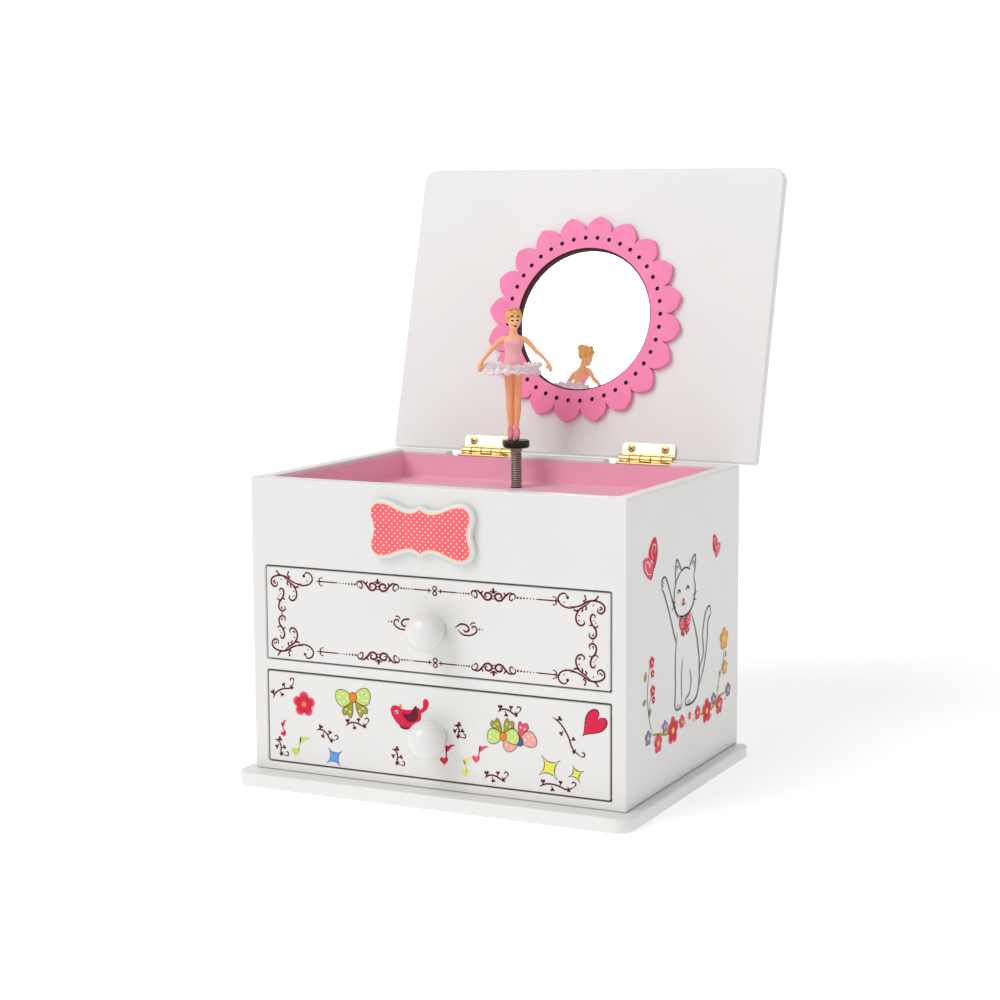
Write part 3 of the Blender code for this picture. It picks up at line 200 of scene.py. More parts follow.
def node(tree, kind, values=None, **settings):
    made = tree.nodes.new(kind)
    for key, value in settings.items():
        setattr(made, key, value)
    for key, value in (values or {}).items():
        if isinstance(value, bpy.types.NodeSocket):
            tree.links.new(value, made.inputs[key])
        else:
            made.inputs[key].default_value = value
    return made


def maths(tree, operation, first, second=0.0, third=0.0, clamp=False):
    made = node(tree, "ShaderNodeMath", {0: first, 1: second, 2: third}, operation=operation)
    made.use_clamp = clamp
    return made.outputs[0]


def blend_colours(tree, factor, first, second, mode="MIX"):
    made = node(tree, "ShaderNodeMix", {"Factor": factor}, data_type="RGBA", blend_type=mode)
    for index, value in ((6, first), (7, second)):
        if isinstance(value, bpy.types.NodeSocket):
            tree.links.new(value, made.inputs[index])
        else:
            made.inputs[index].default_value = value
    return made.outputs[2]


COLOUR = "NodeSocketColor"
FLOAT = "NodeSocketFloat"
VECTOR = "NodeSocketVector"
WHITE = (1.0, 1.0, 1.0, 1.0)


def mottle_group():
    """Cloudy variation of colour and gloss, with a fine skin for the bump."""
    inputs = (
        ("Colour", COLOUR, WHITE), ("Tint", COLOUR, WHITE), ("Amount", FLOAT, 0.1),
        ("Cloud Scale", FLOAT, 60.0), ("Roughness", FLOAT, 0.4), ("Gloss Spread", FLOAT, 0.1),
        ("Skin Scale", FLOAT, 900.0),
    )
    outputs = (("Colour", COLOUR), ("Roughness", FLOAT), ("Height", FLOAT))
    group, given, made = shader_group("Mottle", inputs, outputs)
    place = node(group, "ShaderNodeTexCoord").outputs["Object"]
    values = {"Vector": place, "Scale": given.outputs["Cloud Scale"], "Detail": 4.0, "Roughness": 0.6}
    clouds = node(group, "ShaderNodeTexNoise", values).outputs["Fac"]
    values = {"Vector": place, "Scale": given.outputs["Skin Scale"], "Detail": 2.0}
    skin = node(group, "ShaderNodeTexNoise", values).outputs["Fac"]
    spread = maths(group, "MULTIPLY_ADD", clouds, 2.4, -0.7, clamp=True)
    tint_and_gloss(group, given, made, spread, "Tint")
    group.links.new(skin, made.inputs["Height"])
    return group


def tint_and_gloss(group, given, made, mask, second):
    """Takes the colour towards the second one, and shifts the gloss, where the mask is high."""
    share = maths(group, "MULTIPLY", mask, given.outputs["Amount"])
    colour = blend_colours(group, share, given.outputs["Colour"], given.outputs[second])
    centred = maths(group, "SUBTRACT", mask, 0.5)
    spread, roughness = given.outputs["Gloss Spread"], given.outputs["Roughness"]
    gloss = maths(group, "MULTIPLY_ADD", centred, spread, roughness)
    group.links.new(colour, made.inputs["Colour"])
    group.links.new(gloss, made.inputs["Roughness"])


def grain_group():
    """Streaks along one axis: wood grain when coarse, brushing when fine."""
    inputs = (
        ("Colour", COLOUR, WHITE), ("Streak", COLOUR, WHITE), ("Amount", FLOAT, 0.3),
        ("Scale", FLOAT, 400.0), ("Stretch", VECTOR, (0.04, 1.0, 1.0)), ("Roughness", FLOAT, 0.4),
        ("Gloss Spread", FLOAT, 0.15),
    )
    outputs = (("Colour", COLOUR), ("Roughness", FLOAT), ("Height", FLOAT))
    group, given, made = shader_group("Grain", inputs, outputs)
    place = node(group, "ShaderNodeTexCoord").outputs["Object"]
    values = {0: place, 1: given.outputs["Stretch"]}
    stretched = node(group, "ShaderNodeVectorMath", values, operation="MULTIPLY").outputs[0]
    values = {"Vector": stretched, "Scale": given.outputs["Scale"], "Detail": 6.0, "Roughness": 0.65}
    streaks = node(group, "ShaderNodeTexNoise", values).outputs["Fac"]
    crisp = maths(group, "MULTIPLY_ADD", streaks, 3.0, -1.0, clamp=True)
    tint_and_gloss(group, given, made, crisp, "Streak")
    group.links.new(crisp, made.inputs["Height"])
    return group


def flock_group():
    """Short upright fibres: speckled colour and a fuzzy height."""
    inputs = (("Colour", COLOUR, WHITE), ("Deep Colour", COLOUR, WHITE), ("Fibre Scale", FLOAT, 2500.0))
    outputs = (("Colour", COLOUR), ("Height", FLOAT))
    group, given, made = shader_group("Flock", inputs, outputs)
    place = node(group, "ShaderNodeTexCoord").outputs["Object"]
    values = {"Vector": place, "Scale": given.outputs["Fibre Scale"], "Detail": 3.0, "Roughness": 0.7}
    fibres = node(group, "ShaderNodeTexNoise", values).outputs["Fac"]
    values = {"Vector": place, "Scale": 55.0, "Detail": 3.0}
    pressed = node(group, "ShaderNodeTexNoise", values).outputs["Fac"]
    speckle = maths(group, "MULTIPLY_ADD", fibres, 2.2, -0.75, clamp=True)
    patch = maths(group, "MULTIPLY_ADD", pressed, 0.8, -0.25, clamp=True)
    share = maths(group, "MULTIPLY_ADD", speckle, 0.30, patch, clamp=True)
    colour = blend_colours(group, share, given.outputs["Colour"], given.outputs["Deep Colour"])
    group.links.new(colour, made.inputs["Colour"])
    group.links.new(fibres, made.inputs["Height"])
    return group


def dots_group():
    """Round dots on a staggered lattice in the piece's own XY plane."""
    inputs = (("Pitch", FLOAT, 0.0027), ("Radius", FLOAT, 0.00036))
    group, given, made = shader_group("Staggered Dots", inputs, (("Mask", FLOAT),))
    place = node(group, "ShaderNodeTexCoord").outputs["Object"]
    parts = node(group, "ShaderNodeSeparateXYZ", {0: place})
    nearest = []
    for shift in (0.0, 0.5):
        squares = []
        for axis in ("X", "Y"):
            cell = maths(group, "DIVIDE", parts.outputs[axis], given.outputs["Pitch"])
            cell = maths(group, "ADD", cell, 100.0 + shift)
            off = maths(group, "SUBTRACT", maths(group, "FRACT", cell), 0.5)
            off = maths(group, "MULTIPLY", off, given.outputs["Pitch"])
            squares.append(maths(group, "MULTIPLY", off, off))
        nearest.append(maths(group, "SQRT", maths(group, "ADD", squares[0], squares[1])))
    distance = maths(group, "MINIMUM", nearest[0], nearest[1])
    edge = maths(group, "SUBTRACT", given.outputs["Radius"], distance)
    mask = maths(group, "MULTIPLY_ADD", edge, 14000.0, 0.5, clamp=True)
    group.links.new(mask, made.inputs["Mask"])
    return group


GROUPS = {}


def shared(name, build):
    if name not in GROUPS:
        GROUPS[name] = build()
    return GROUPS[name]


# ---- Finishes ----
def rgba(colour):
    return (*tuple(colour)[:3], 1.0)


def darker(colour, share):
    return tuple(part * share for part in tuple(colour)[:3])


def new_finish(name, **sockets):
    """A material and its node tree, with constants set on the Principled shader's own sockets."""
    made = bpy.data.materials.new(name)
    made.use_nodes = True
    shader = made.node_tree.nodes["Principled BSDF"]
    for key, value in sockets.items():
        shader.inputs[key.replace("_", " ")].default_value = value
    return made, made.node_tree, shader


def bump(tree, shader, height, strength, distance=0.0002):
    values = {"Height": height, "Strength": strength, "Distance": distance}
    made = node(tree, "ShaderNodeBump", values)
    tree.links.new(made.outputs["Normal"], shader.inputs["Normal"])


def surfaced(name, group, values, relief, sockets):
    """A finish whose colour, gloss and relief come from a shader group."""
    made, tree, shader = new_finish(name, **sockets)
    surface = node(tree, "ShaderNodeGroup", values, node_tree=group)
    tree.links.new(surface.outputs["Colour"], shader.inputs["Base Color"])
    tree.links.new(surface.outputs["Roughness"], shader.inputs["Roughness"])
    bump(tree, shader, surface.outputs["Height"], relief)
    return made


def mottled(name, colour, tint, amount, cloud, roughness, spread, skin, relief, **sockets):
    """A painted, printed or moulded finish with faint clouds and a fine skin."""
    values = {
        "Colour": rgba(colour), "Tint": rgba(tint), "Amount": amount, "Cloud Scale": cloud,
        "Roughness": roughness, "Gloss Spread": spread, "Skin Scale": skin,
    }
    return surfaced(name, shared("mottle", mottle_group), values, relief, sockets)


def streaked(name, colour, streak, amount, scale, stretch, roughness, spread, relief, **sockets):
    """A finish with grain or brushing along one axis."""
    values = {
        "Colour": rgba(colour), "Streak": rgba(streak), "Amount": amount, "Scale": scale,
        "Stretch": stretch, "Roughness": roughness, "Gloss Spread": spread,
    }
    return surfaced(name, shared("grain", grain_group), values, relief, sockets)


FINISHES = {}


def finish(name):
    """The finish of that name, made the first time it is asked for."""
    if name not in FINISHES:
        FINISHES[name] = FINISH_MAKERS[name]()
    return FINISHES[name]


def lacquer_finish():
    white = setting("case").lacquer
    return mottled(
        "white satin lacquer", white, darker(white, 0.955), amount=0.5, cloud=22.0, roughness=0.34,
        spread=0.10, skin=700.0, relief=0.045, Coat_Weight=0.25, Coat_Roughness=0.12,
    )


def knob_finish():
    white = setting("case").lacquer
    return mottled(
        "white gloss lacquer", white, darker(white, 0.96), amount=0.4, cloud=90.0, roughness=0.34,
        spread=0.08, skin=500.0, relief=0.03, Coat_Weight=0.25, Coat_Roughness=0.12,
    )


def board_finish():
    brown = setting("case").board
    return streaked(
        "bare board", brown, darker(brown, 0.55), amount=0.55, scale=260.0, stretch=(0.05, 1.0, 1.0),
        roughness=0.78, spread=0.12, relief=0.25,
    )


def flock_finish():
    pink = setting("tray").pink
    deep = (pink[0] * 0.88, pink[1] * 0.66, pink[2] * 0.74)
    made, tree, shader = new_finish(
        "pink flock", Roughness=0.95, Sheen_Weight=0.35, Sheen_Roughness=0.5,
        Sheen_Tint=(1.0, 0.80, 0.86, 1.0),
    )
    values = {"Colour": rgba(pink), "Deep Colour": rgba(deep)}
    flock = node(tree, "ShaderNodeGroup", values, node_tree=shared("flock", flock_group))
    tree.links.new(flock.outputs["Colour"], shader.inputs["Base Color"])
    bump(tree, shader, flock.outputs["Height"], 0.5, 0.00025)
    return made


def ring_finish():
    pink = setting("mirror").pink
    return mottled(
        "pink paint", pink, darker(pink, 0.86), amount=0.6, cloud=120.0, roughness=0.46, spread=0.14,
        skin=1400.0, relief=0.10,
    )


def scorch_and_shade_finish():
    dark = setting("mirror").scorch_and_shade
    return mottled(
        "scorched edge and painted shade", dark, darker(dark, 0.4), amount=0.8, cloud=900.0, roughness=0.8,
        spread=0.1, skin=2500.0, relief=0.2,
    )


def mirror_finish():
    return mottled(
        "silvered glass", (0.96, 0.97, 0.97), (0.93, 0.95, 0.95), amount=0.5, cloud=40.0,
        roughness=0.015, spread=0.01, skin=300.0, relief=0.0, Metallic=1.0,
    )


def coral_finish():
    """Coral ink with rows of small pale dots."""
    made = mottled(
        "coral dotted print", (0.97, 0.14, 0.165), (0.90, 0.10, 0.13), amount=0.45, cloud=180.0,
        roughness=0.48, spread=0.1, skin=2200.0, relief=0.05, Specular_IOR_Level=0.25,
    )
    tree = made.node_tree
    base = tree.nodes["Principled BSDF"].inputs["Base Color"]
    plain = base.links[0].from_socket
    values = {"Pitch": 0.00240, "Radius": 0.00031}
    dots = node(tree, "ShaderNodeGroup", values, node_tree=shared("dots", dots_group))
    colour = blend_colours(tree, dots.outputs["Mask"], plain, rgba((0.95, 0.88, 0.86)))
    tree.links.new(colour, base)
    return made


def brass_finish():
    brass = setting("metal").brass
    return streaked(
        "polished brass plate", brass, darker(brass, 0.72), amount=0.35, scale=900.0,
        stretch=(0.08, 1.0, 1.0), roughness=0.17, spread=0.10, relief=0.03, Metallic=1.0,
    )


# Darker brass for the knuckles, pins and screw heads: painted shade, standing in for the dark reflections
# that polished round brass shows
def shadowed_brass_finish():
    brass = setting("metal").brass
    deep = (brass[0] * 0.74, brass[1] * 0.62, brass[2] * 0.42)
    return streaked(
        "shadowed brass", deep, darker(deep, 0.55), amount=0.5, scale=1400.0, stretch=(0.3, 1.0, 1.0),
        roughness=0.14, spread=0.10, relief=0.03, Metallic=1.0,
    )


def steel_finish():
    steel = setting("metal").steel
    return streaked(
        "darkened steel", steel, darker(steel, 0.5), amount=0.5, scale=1200.0, stretch=(1.0, 1.0, 0.1),
        roughness=0.30, spread=0.14, relief=0.05, Metallic=1.0,
    )


def plated_finish():
    return streaked(
        "plated bedplate", (0.60, 0.59, 0.56), (0.42, 0.41, 0.39), amount=0.5, scale=800.0,
        stretch=(0.05, 1.0, 1.0), roughness=0.34, spread=0.12, relief=0.06, Metallic=1.0,
    )


def disc_finish():
    dark = setting("dancer").disc
    return mottled(
        "green-black plastic", dark, (0.012, 0.022, 0.010), amount=0.5, cloud=300.0, roughness=0.30,
        spread=0.12, skin=1600.0, relief=0.06, Specular_IOR_Level=0.25,
    )


def plastic_finish(name, colour, tint, roughness=0.42):
    """The dancer's moulded plastic, bare or painted."""
    return mottled(
        name, colour, tint, amount=0.5, cloud=260.0, roughness=roughness, spread=0.12, skin=2200.0,
        relief=0.06, Coat_Weight=0.12,
    )


def skin_finish():
    skin = setting("dancer").skin
    return plastic_finish("peach plastic", skin, (skin[0] * 1.02, skin[1] * 0.84, skin[2] * 0.74))


def face_finish():
    skin = setting("dancer").skin
    pale = (skin[0], skin[1] * 1.18, skin[2] * 1.35)
    return plastic_finish("face paint", pale, (pale[0], pale[1] * 0.88, pale[2] * 0.82))


def comb_finish():
    skin = setting("dancer").skin
    return plastic_finish("peach comb", (skin[0] * 0.86, skin[1] * 0.78, skin[2] * 0.86), darker(skin, 0.6))


def bodice_finish():
    pink = setting("dancer").bodice
    return plastic_finish("bodice paint", pink, (pink[0] * 1.05, pink[1] * 1.35, pink[2] * 1.3), 0.38)


def shoe_finish():
    pink = setting("dancer").shoe
    return plastic_finish("shoe paint", pink, darker(pink, 0.8), 0.35)


def hair_finish():
    gold = setting("dancer").hair
    return streaked(
        "golden hair paint", gold, (gold[0] * 0.62, gold[1] * 0.42, gold[2] * 0.35), amount=0.6,
        scale=900.0, stretch=(1.0, 1.0, 0.25), roughness=0.42, spread=0.15, relief=0.3,
    )


def tutu_finish():
    white = setting("dancer").tutu
    return mottled(
        "soft white ruffle", white, (white[0] * 0.94, white[1] * 0.86, white[2] * 0.95), amount=0.6,
        cloud=170.0, roughness=0.42, spread=0.12, skin=1500.0, relief=0.08, Coat_Weight=0.15,
    )


INKS = {
    "maroon": (0.15, 0.008, 0.024),
    "rose": (0.72, 0.018, 0.07),
    "coral": (0.86, 0.09, 0.15),
    "lime": (0.58, 0.76, 0.18),
    "olive": (0.38, 0.36, 0.03),
    "yellow": (0.86, 0.82, 0.12),
    "amber": (0.84, 0.50, 0.16),
    "orange": (0.88, 0.25, 0.02),
    "sky": (0.13, 0.38, 0.82),
    "blue": (0.05, 0.12, 0.34),
    "violet": (0.40, 0.28, 0.50),
    "grey": (0.07, 0.065, 0.075),
    "brown": (0.07, 0.035, 0.02),
    "cream": (0.90, 0.74, 0.52),
    "black": (0.02, 0.016, 0.016),
    "paper": (0.86, 0.86, 0.85),
    "lip": (0.62, 0.02, 0.035),
    "blush": (0.92, 0.40, 0.36),
}


def ink_finish(colour):
    def make():
        ink = INKS[colour]
        return mottled(
            f"{colour} ink", ink, darker(ink, 0.82), amount=0.5, cloud=700.0, roughness=0.55,
            spread=0.12, skin=2600.0, relief=0.06, Specular_IOR_Level=0.2,
        )

    return make


FINISH_MAKERS = {
    "lacquer": lacquer_finish, "gloss": knob_finish, "board": board_finish, "flock": flock_finish,
    "ring": ring_finish, "scorch_and_shade": scorch_and_shade_finish, "mirror": mirror_finish, "coral": coral_finish,
    "brass": brass_finish, "shadowed": shadowed_brass_finish, "steel": steel_finish,
    "plated": plated_finish, "disc": disc_finish, "skin": skin_finish, "face": face_finish,
    "comb": comb_finish, "bodice": bodice_finish, "shoe": shoe_finish, "hair": hair_finish,
    "tutu": tutu_finish,
}
FINISH_MAKERS.update({"ink " + colour: ink_finish(colour) for colour in INKS})


# ---- Mesh helpers ----
def mesh_of(build):
    mesh = bpy.data.meshes.new("shape")
    bm = bmesh.new()
    build(bm)
    bmesh.ops.recalc_face_normals(bm, faces=bm.faces)
    bm.to_mesh(mesh)
    bm.free()
    return mesh


def evaluated_mesh(piece):
    """The piece's mesh with its modifiers applied."""
    bpy.context.view_layer.update()
    graph = bpy.context.evaluated_depsgraph_get()
    return bpy.data.meshes.new_from_object(piece.evaluated_get(graph), depsgraph=graph)


def in_scene(name, data):
    """A new object that holds the mesh, curve, light or camera."""
    made = bpy.data.objects.new(name, data)
    bpy.context.scene.collection.objects.link(made)
    return made


def worked(mesh, steps, cutters=()):
    """The mesh after cuts and modifiers, given as (type, settings) pairs."""
    helper = in_scene("helper", mesh)
    tools = [in_scene("helper", cutter) for cutter in cutters]
    for tool in tools:
        cut = helper.modifiers.new("cut", "BOOLEAN")
        cut.object = tool
        cut.solver = "EXACT"
        cut.operation = "DIFFERENCE"
    for kind, settings in steps:
        step = helper.modifiers.new(kind.lower(), kind)
        for key, value in settings.items():
            setattr(step, key, value)
    made = evaluated_mesh(helper)
    for helping in [helper] + tools:
        bpy.data.objects.remove(helping)
    return made


EVEN_NORMALS = ("WEIGHTED_NORMAL", {"keep_sharp": True, "weight": 60})


def rounded(mesh, radius, segments=3, cutters=()):
    """Sharp edges rounded off, after the cuts."""
    bevel = {
        "width": radius, "segments": segments, "limit_method": "ANGLE", "angle_limit": radians(40),
        "use_clamp_overlap": True, "harden_normals": False, "miter_outer": "MITER_ARC",
    }
    return worked(mesh, [("BEVEL", bevel)], cutters)


def soften(mesh, angle=40):
    """Smooth shading across shallow angles, with flat faces kept flat."""
    mesh.shade_smooth()
    mesh.set_sharp_from_angle(angle=radians(angle))
    return worked(mesh, [EVEN_NORMALS])


def block(x, y, z):
    """A square-edged box between two limits on each axis."""
    def build(bm):
        bmesh.ops.create_cube(bm, size=1.0)
        bmesh.ops.scale(bm, vec=(x[1] - x[0], y[1] - y[0], z[1] - z[0]), verts=bm.verts)
        middle = ((x[0] + x[1]) / 2, (y[0] + y[1]) / 2, (z[0] + z[1]) / 2)
        bmesh.ops.translate(bm, vec=middle, verts=bm.verts)

    return mesh_of(build)


def around(count):
    """Evenly spaced turns round a circle."""
    return [2 * pi * i / count for i in range(count)]


def turned(profile, sides):
    """A solid turned about Z from (radius, height) points that start and end on the axis."""
    def build(bm):
        rings = []
        for radius, height in profile:
            if radius < 1e-9:
                rings.append([bm.verts.new((0, 0, height))])
                continue
            spots = [(radius * cos(a), radius * sin(a), height) for a in around(sides)]
            rings.append([bm.verts.new(spot) for spot in spots])
        for below, above in zip(rings, rings[1:]):
            for i in range(sides):
                j = (i + 1) % sides
                if len(below) == 1:
                    bm.faces.new((below[0], above[i], above[j]))
                elif len(above) == 1:
                    bm.faces.new((below[i], below[j], above[0]))
                else:
                    bm.faces.new((below[i], below[j], above[j], above[i]))

    return mesh_of(build)


def slab(outlines, low, high, radius=0.0, segments=2):
    """A flat piece with openings and rounded edges: the first outline is its edge, the others are holes."""
    curve = bpy.data.curves.new("slab", "CURVE")
    curve.dimensions = "2D"
    curve.fill_mode = "BOTH"
    curve.extrude = (high - low) / 2 - radius
    curve.bevel_depth = radius
    curve.bevel_resolution = segments
    curve.offset = -radius
    for outline in outlines:
        spline = curve.splines.new("POLY")
        spline.points.add(len(outline) - 1)
        spline.use_cyclic_u = True
        for point, (x, y) in zip(spline.points, outline):
            point.co = (x, y, 0, 1)
    helper = in_scene("helper", curve)
    mesh = evaluated_mesh(helper)
    bpy.data.objects.remove(helper)

    def build(bm):
        bm.from_mesh(mesh)
        bmesh.ops.remove_doubles(bm, verts=bm.verts, dist=1e-7)
        bmesh.ops.translate(bm, vec=(0, 0, (low + high) / 2), verts=bm.verts)

    return mesh_of(build)


def tube(points, radius, sides):
    """A round wire along points. radius is one value, or one for each point."""
    last = len(points) - 1
    radii = radius if isinstance(radius, (list, tuple)) else [radius] * len(points)

    def build(bm):
        rings = []
        side = None
        for i, point in enumerate(points):
            run = (points[min(i + 1, last)] - points[max(i - 1, 0)]).normalized()
            if side is None:
                side = run.orthogonal().normalized()
            side = (side - run * side.dot(run)).normalized()
            other = run.cross(side)
            spots = [point + radii[i] * (cos(a) * side + sin(a) * other) for a in around(sides)]
            rings.append([bm.verts.new(spot) for spot in spots])
        for below, above in zip(rings, rings[1:]):
            for j in range(sides):
                k = (j + 1) % sides
                bm.faces.new((below[j], below[k], above[k], above[j]))
        bm.faces.new(reversed(rings[0]))
        bm.faces.new(rings[-1])

    return mesh_of(build)


def joined(meshes):
    """Several meshes as one, each keeping its own materials."""
    made = bpy.data.meshes.new("joined")
    bm = bmesh.new()
    slots = []
    for mesh in meshes:
        offset = len(bm.faces)
        bm.from_mesh(mesh)
        bm.faces.ensure_lookup_table()
        lookup = []
        for coat in mesh.materials:
            if coat not in slots:
                slots.append(coat)
            lookup.append(slots.index(coat))
        for face in bm.faces[offset:]:
            if lookup:
                face.material_index = lookup[min(face.material_index, len(lookup) - 1)]
    bm.to_mesh(made)
    bm.free()
    for coat in slots:
        made.materials.append(coat)
    return made


def moved(mesh, matrix):
    mesh.transform(matrix)
    return mesh


def coated(mesh, *coats):
    mesh.materials.clear()
    for coat in coats:
        mesh.materials.append(finish(coat))
    return mesh


def circle(radius, sides, x=0.0, y=0.0):
    turns = (2 * pi * (i + 0.5) / sides for i in range(sides))
    return [(x + radius * cos(a), y + radius * sin(a)) for a in turns]


def rounded_rectangle(x, y, corners, steps=10):
    """A rectangle with a radius for each corner, from back right to back left, front left, front right."""
    points = []
    quarters = ((x[1], y[1], -1, -1), (x[0], y[1], 1, -1), (x[0], y[0], 1, 1), (x[1], y[0], -1, 1))
    for quarter, (corner, radius) in enumerate(zip(quarters, corners)):
        centre_x = corner[0] + corner[2] * radius
        centre_y = corner[1] + corner[3] * radius
        for step in range(steps + 1):
            turn = (quarter + step / steps) * pi / 2
            points.append((centre_x + radius * cos(turn), centre_y + radius * sin(turn)))
    return points


def place_piece(name, mesh, body, replaced=(), matrix=None):
    """Puts a finished mesh in the scene, riding on its body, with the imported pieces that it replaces."""
    piece = in_scene(name, mesh)
    mesh.name = name
    if matrix is not None:
        piece.matrix_world = matrix
    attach(piece, body)
    if replaced:
        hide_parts(*replaced)
    return piece


def refinish(coat, *names):
    """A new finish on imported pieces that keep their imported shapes."""
    for name in names:
        frame["nodes"][name].material_slots[0].material = finish(coat)


def span(node_name, axis):
    low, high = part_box(node_name)
    return low[axis], high[axis]


# Frames of reference for pieces that are drawn flat or closed
ALONG_X = Matrix.Rotation(pi / 2, 4, "Y")
ALONG_BACK = Matrix.Rotation(-pi / 2, 4, "X")
ALONG_FRONT = Matrix.Rotation(pi / 2, 4, "X")
LID_FRAME = Matrix.Translation(HINGE) @ Matrix.Rotation(-LID_OPEN, 4, "X")
FIGURE_FRAME = Matrix.Translation(SPIN) @ Matrix.Rotation(FACING, 4, "Z")


# ---- Case ----
KEY_HOLE = 0.0045
KEY_HOLE_REACH = 0.012
NOTCH_LEFT = 0.0046
NOTCH_RIGHT = 0.0007
NOTCH_FRONT = 0.003
NOTCH_BACK = 0.01
BOTTOM_LAP = 0.0002
NEAR = 1e-5


def key_hole_mesh():
    """A cutter for the key's hole in the back."""
    profile = [(0, -KEY_HOLE_REACH), (KEY_HOLE, -KEY_HOLE_REACH), (KEY_HOLE, KEY_HOLE_REACH)]
    mesh = turned(profile + [(0, KEY_HOLE_REACH)], 48)
    return moved(mesh, Matrix.Translation((ARBOR.x, CASE_HIGH.y, ARBOR.z)) @ ALONG_BACK)


class MUSICBOX_OT_case(bpy.types.Operator):
    """Builds the jointless lacquered case: sides, back, front panel, bottom and drawer shelf"""

    bl_idname = "musicbox.case"
    bl_label = "Case"

    def execute(self, context):
        sizes = setting("case")
        inner = (CASE_LOW.x + WALL, CASE_HIGH.x - WALL)
        through = (CASE_LOW.y - WALL, CASE_HIGH.y - WALL)
        behind = (CASE_LOW.y + WALL, CASE_HIGH.y - WALL)
        shelf = span("drawer_shelf", 2)
        outer = block((CASE_LOW.x, CASE_HIGH.x), (CASE_LOW.y, CASE_HIGH.y), (CASE_LOW.z - BOTTOM_LAP, RIM))
        cutters = [
            block(inner, through, (span("case_bottom", 2)[1], shelf[0])),
            block(inner, through, (shelf[1], span("front_panel", 2)[0])),
            block(inner, behind, (shelf[1], RIM + WALL)),
            key_hole_mesh(),
        ]
        for side in ("left", "right"):
            low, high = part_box(f"{side}_hinge_case_leaf")
            across = (low.x - NOTCH_LEFT, high.x + NOTCH_RIGHT)
            deep = (low.y - NOTCH_FRONT, high.y + NOTCH_BACK)
            cutters.append(block(across, deep, (low.z - SHUT_GAP, RIM + WALL)))
        mesh = rounded(outer, sizes.edge_radius, 3, cutters)
        coated(mesh, "lacquer", "board")
        ceiling = span("tray_floor", 2)[0]
        bm = bmesh.new()
        bm.from_mesh(mesh)
        geometry = bm.verts[:] + bm.edges[:] + bm.faces[:]
        bmesh.ops.bisect_plane(bm, geom=geometry, plane_co=(0, 0, ceiling), plane_no=(0, 0, 1))
        bm.to_mesh(mesh)
        bm.free()
        for face in mesh.polygons:
            spot = face.center
            between_sides = inner[0] - NEAR < spot.x < inner[1] + NEAR
            between_ends = behind[0] - NEAR < spot.y < behind[1] + NEAR
            if between_sides and between_ends and spot.z < ceiling:
                face.material_index = 1
        replaced = ("left_side", "right_side", "back_panel", "front_panel", "case_bottom", "drawer_shelf")
        place_piece("case_shell", soften(mesh), "root", replaced)
        return {"FINISHED"}


class MUSICBOX_OT_base(bpy.types.Operator):
    """Builds the base plate with its rounded edges"""

    bl_idname = "musicbox.base"
    bl_label = "Base"

    def execute(self, context):
        sizes = setting("case")
        low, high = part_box("base_plate")
        corners = (sizes.back_corner, sizes.back_corner, sizes.base_corner, sizes.base_corner)
        outline = rounded_rectangle((low.x, high.x), (low.y, high.y), corners)
        mesh = coated(slab([outline], low.z, high.z, sizes.base_radius, 3), "lacquer")
        place_piece("base_board", soften(mesh), "root", ["base_plate"])
        return {"FINISHED"}


# ---- Lid, mirror and ring ----
SEAT_CUT = 0.003
GLASS_EDGE = 0.0002
GLASS_SLOPE = 0.0004
RING_TURN = -pi / 2 - radians(4.6)
RING_EDGE = 0.00018
# widths of the painted shadow line round the ring's opening: under the ring, and over the glass
LINE_OUT = 0.0003
LINE_IN = 0.0007


def in_lid_frame(node_name):
    """The node's box in the closed lid's own frame, with the hinge axis along X."""
    back = LID_FRAME.inverted()
    points = [back @ vertex.co for vertex in frame["nodes"][node_name].data.vertices]
    low = Vector(min(point[i] for point in points) for i in range(3))
    high = Vector(max(point[i] for point in points) for i in range(3))
    return low, high


class MUSICBOX_OT_lid(bpy.types.Operator):
    """Builds the lid board with its rounded edges and the seat for the mirror"""

    bl_idname = "musicbox.lid"
    bl_label = "Lid"

    def execute(self, context):
        sizes = setting("case")
        low, high = in_lid_frame("lid_panel")
        corners = (sizes.back_corner, sizes.back_corner, sizes.lid_corner, sizes.lid_corner)
        outline = rounded_rectangle((low.x, high.x), (low.y, high.y), corners)
        board = slab([outline], low.z, high.z, sizes.lid_radius, 3)
        glass_low, glass_high = in_lid_frame("mirror")
        middle = (glass_low + glass_high) / 2
        radius = (glass_high.x - glass_low.x) / 2 + SHUT_GAP
        depth = glass_high.z - glass_low.z + SHUT_GAP
        seat = turned([(0, -SEAT_CUT), (radius, -SEAT_CUT), (radius, depth), (0, depth)], 96)
        moved(seat, Matrix.Translation((middle.x, middle.y, glass_low.z)))
        mesh = coated(worked(board, [], [seat]), "lacquer")
        place_piece("lid_board", soften(mesh, 35), "lid", ["lid_panel"], LID_FRAME)
        return {"FINISHED"}


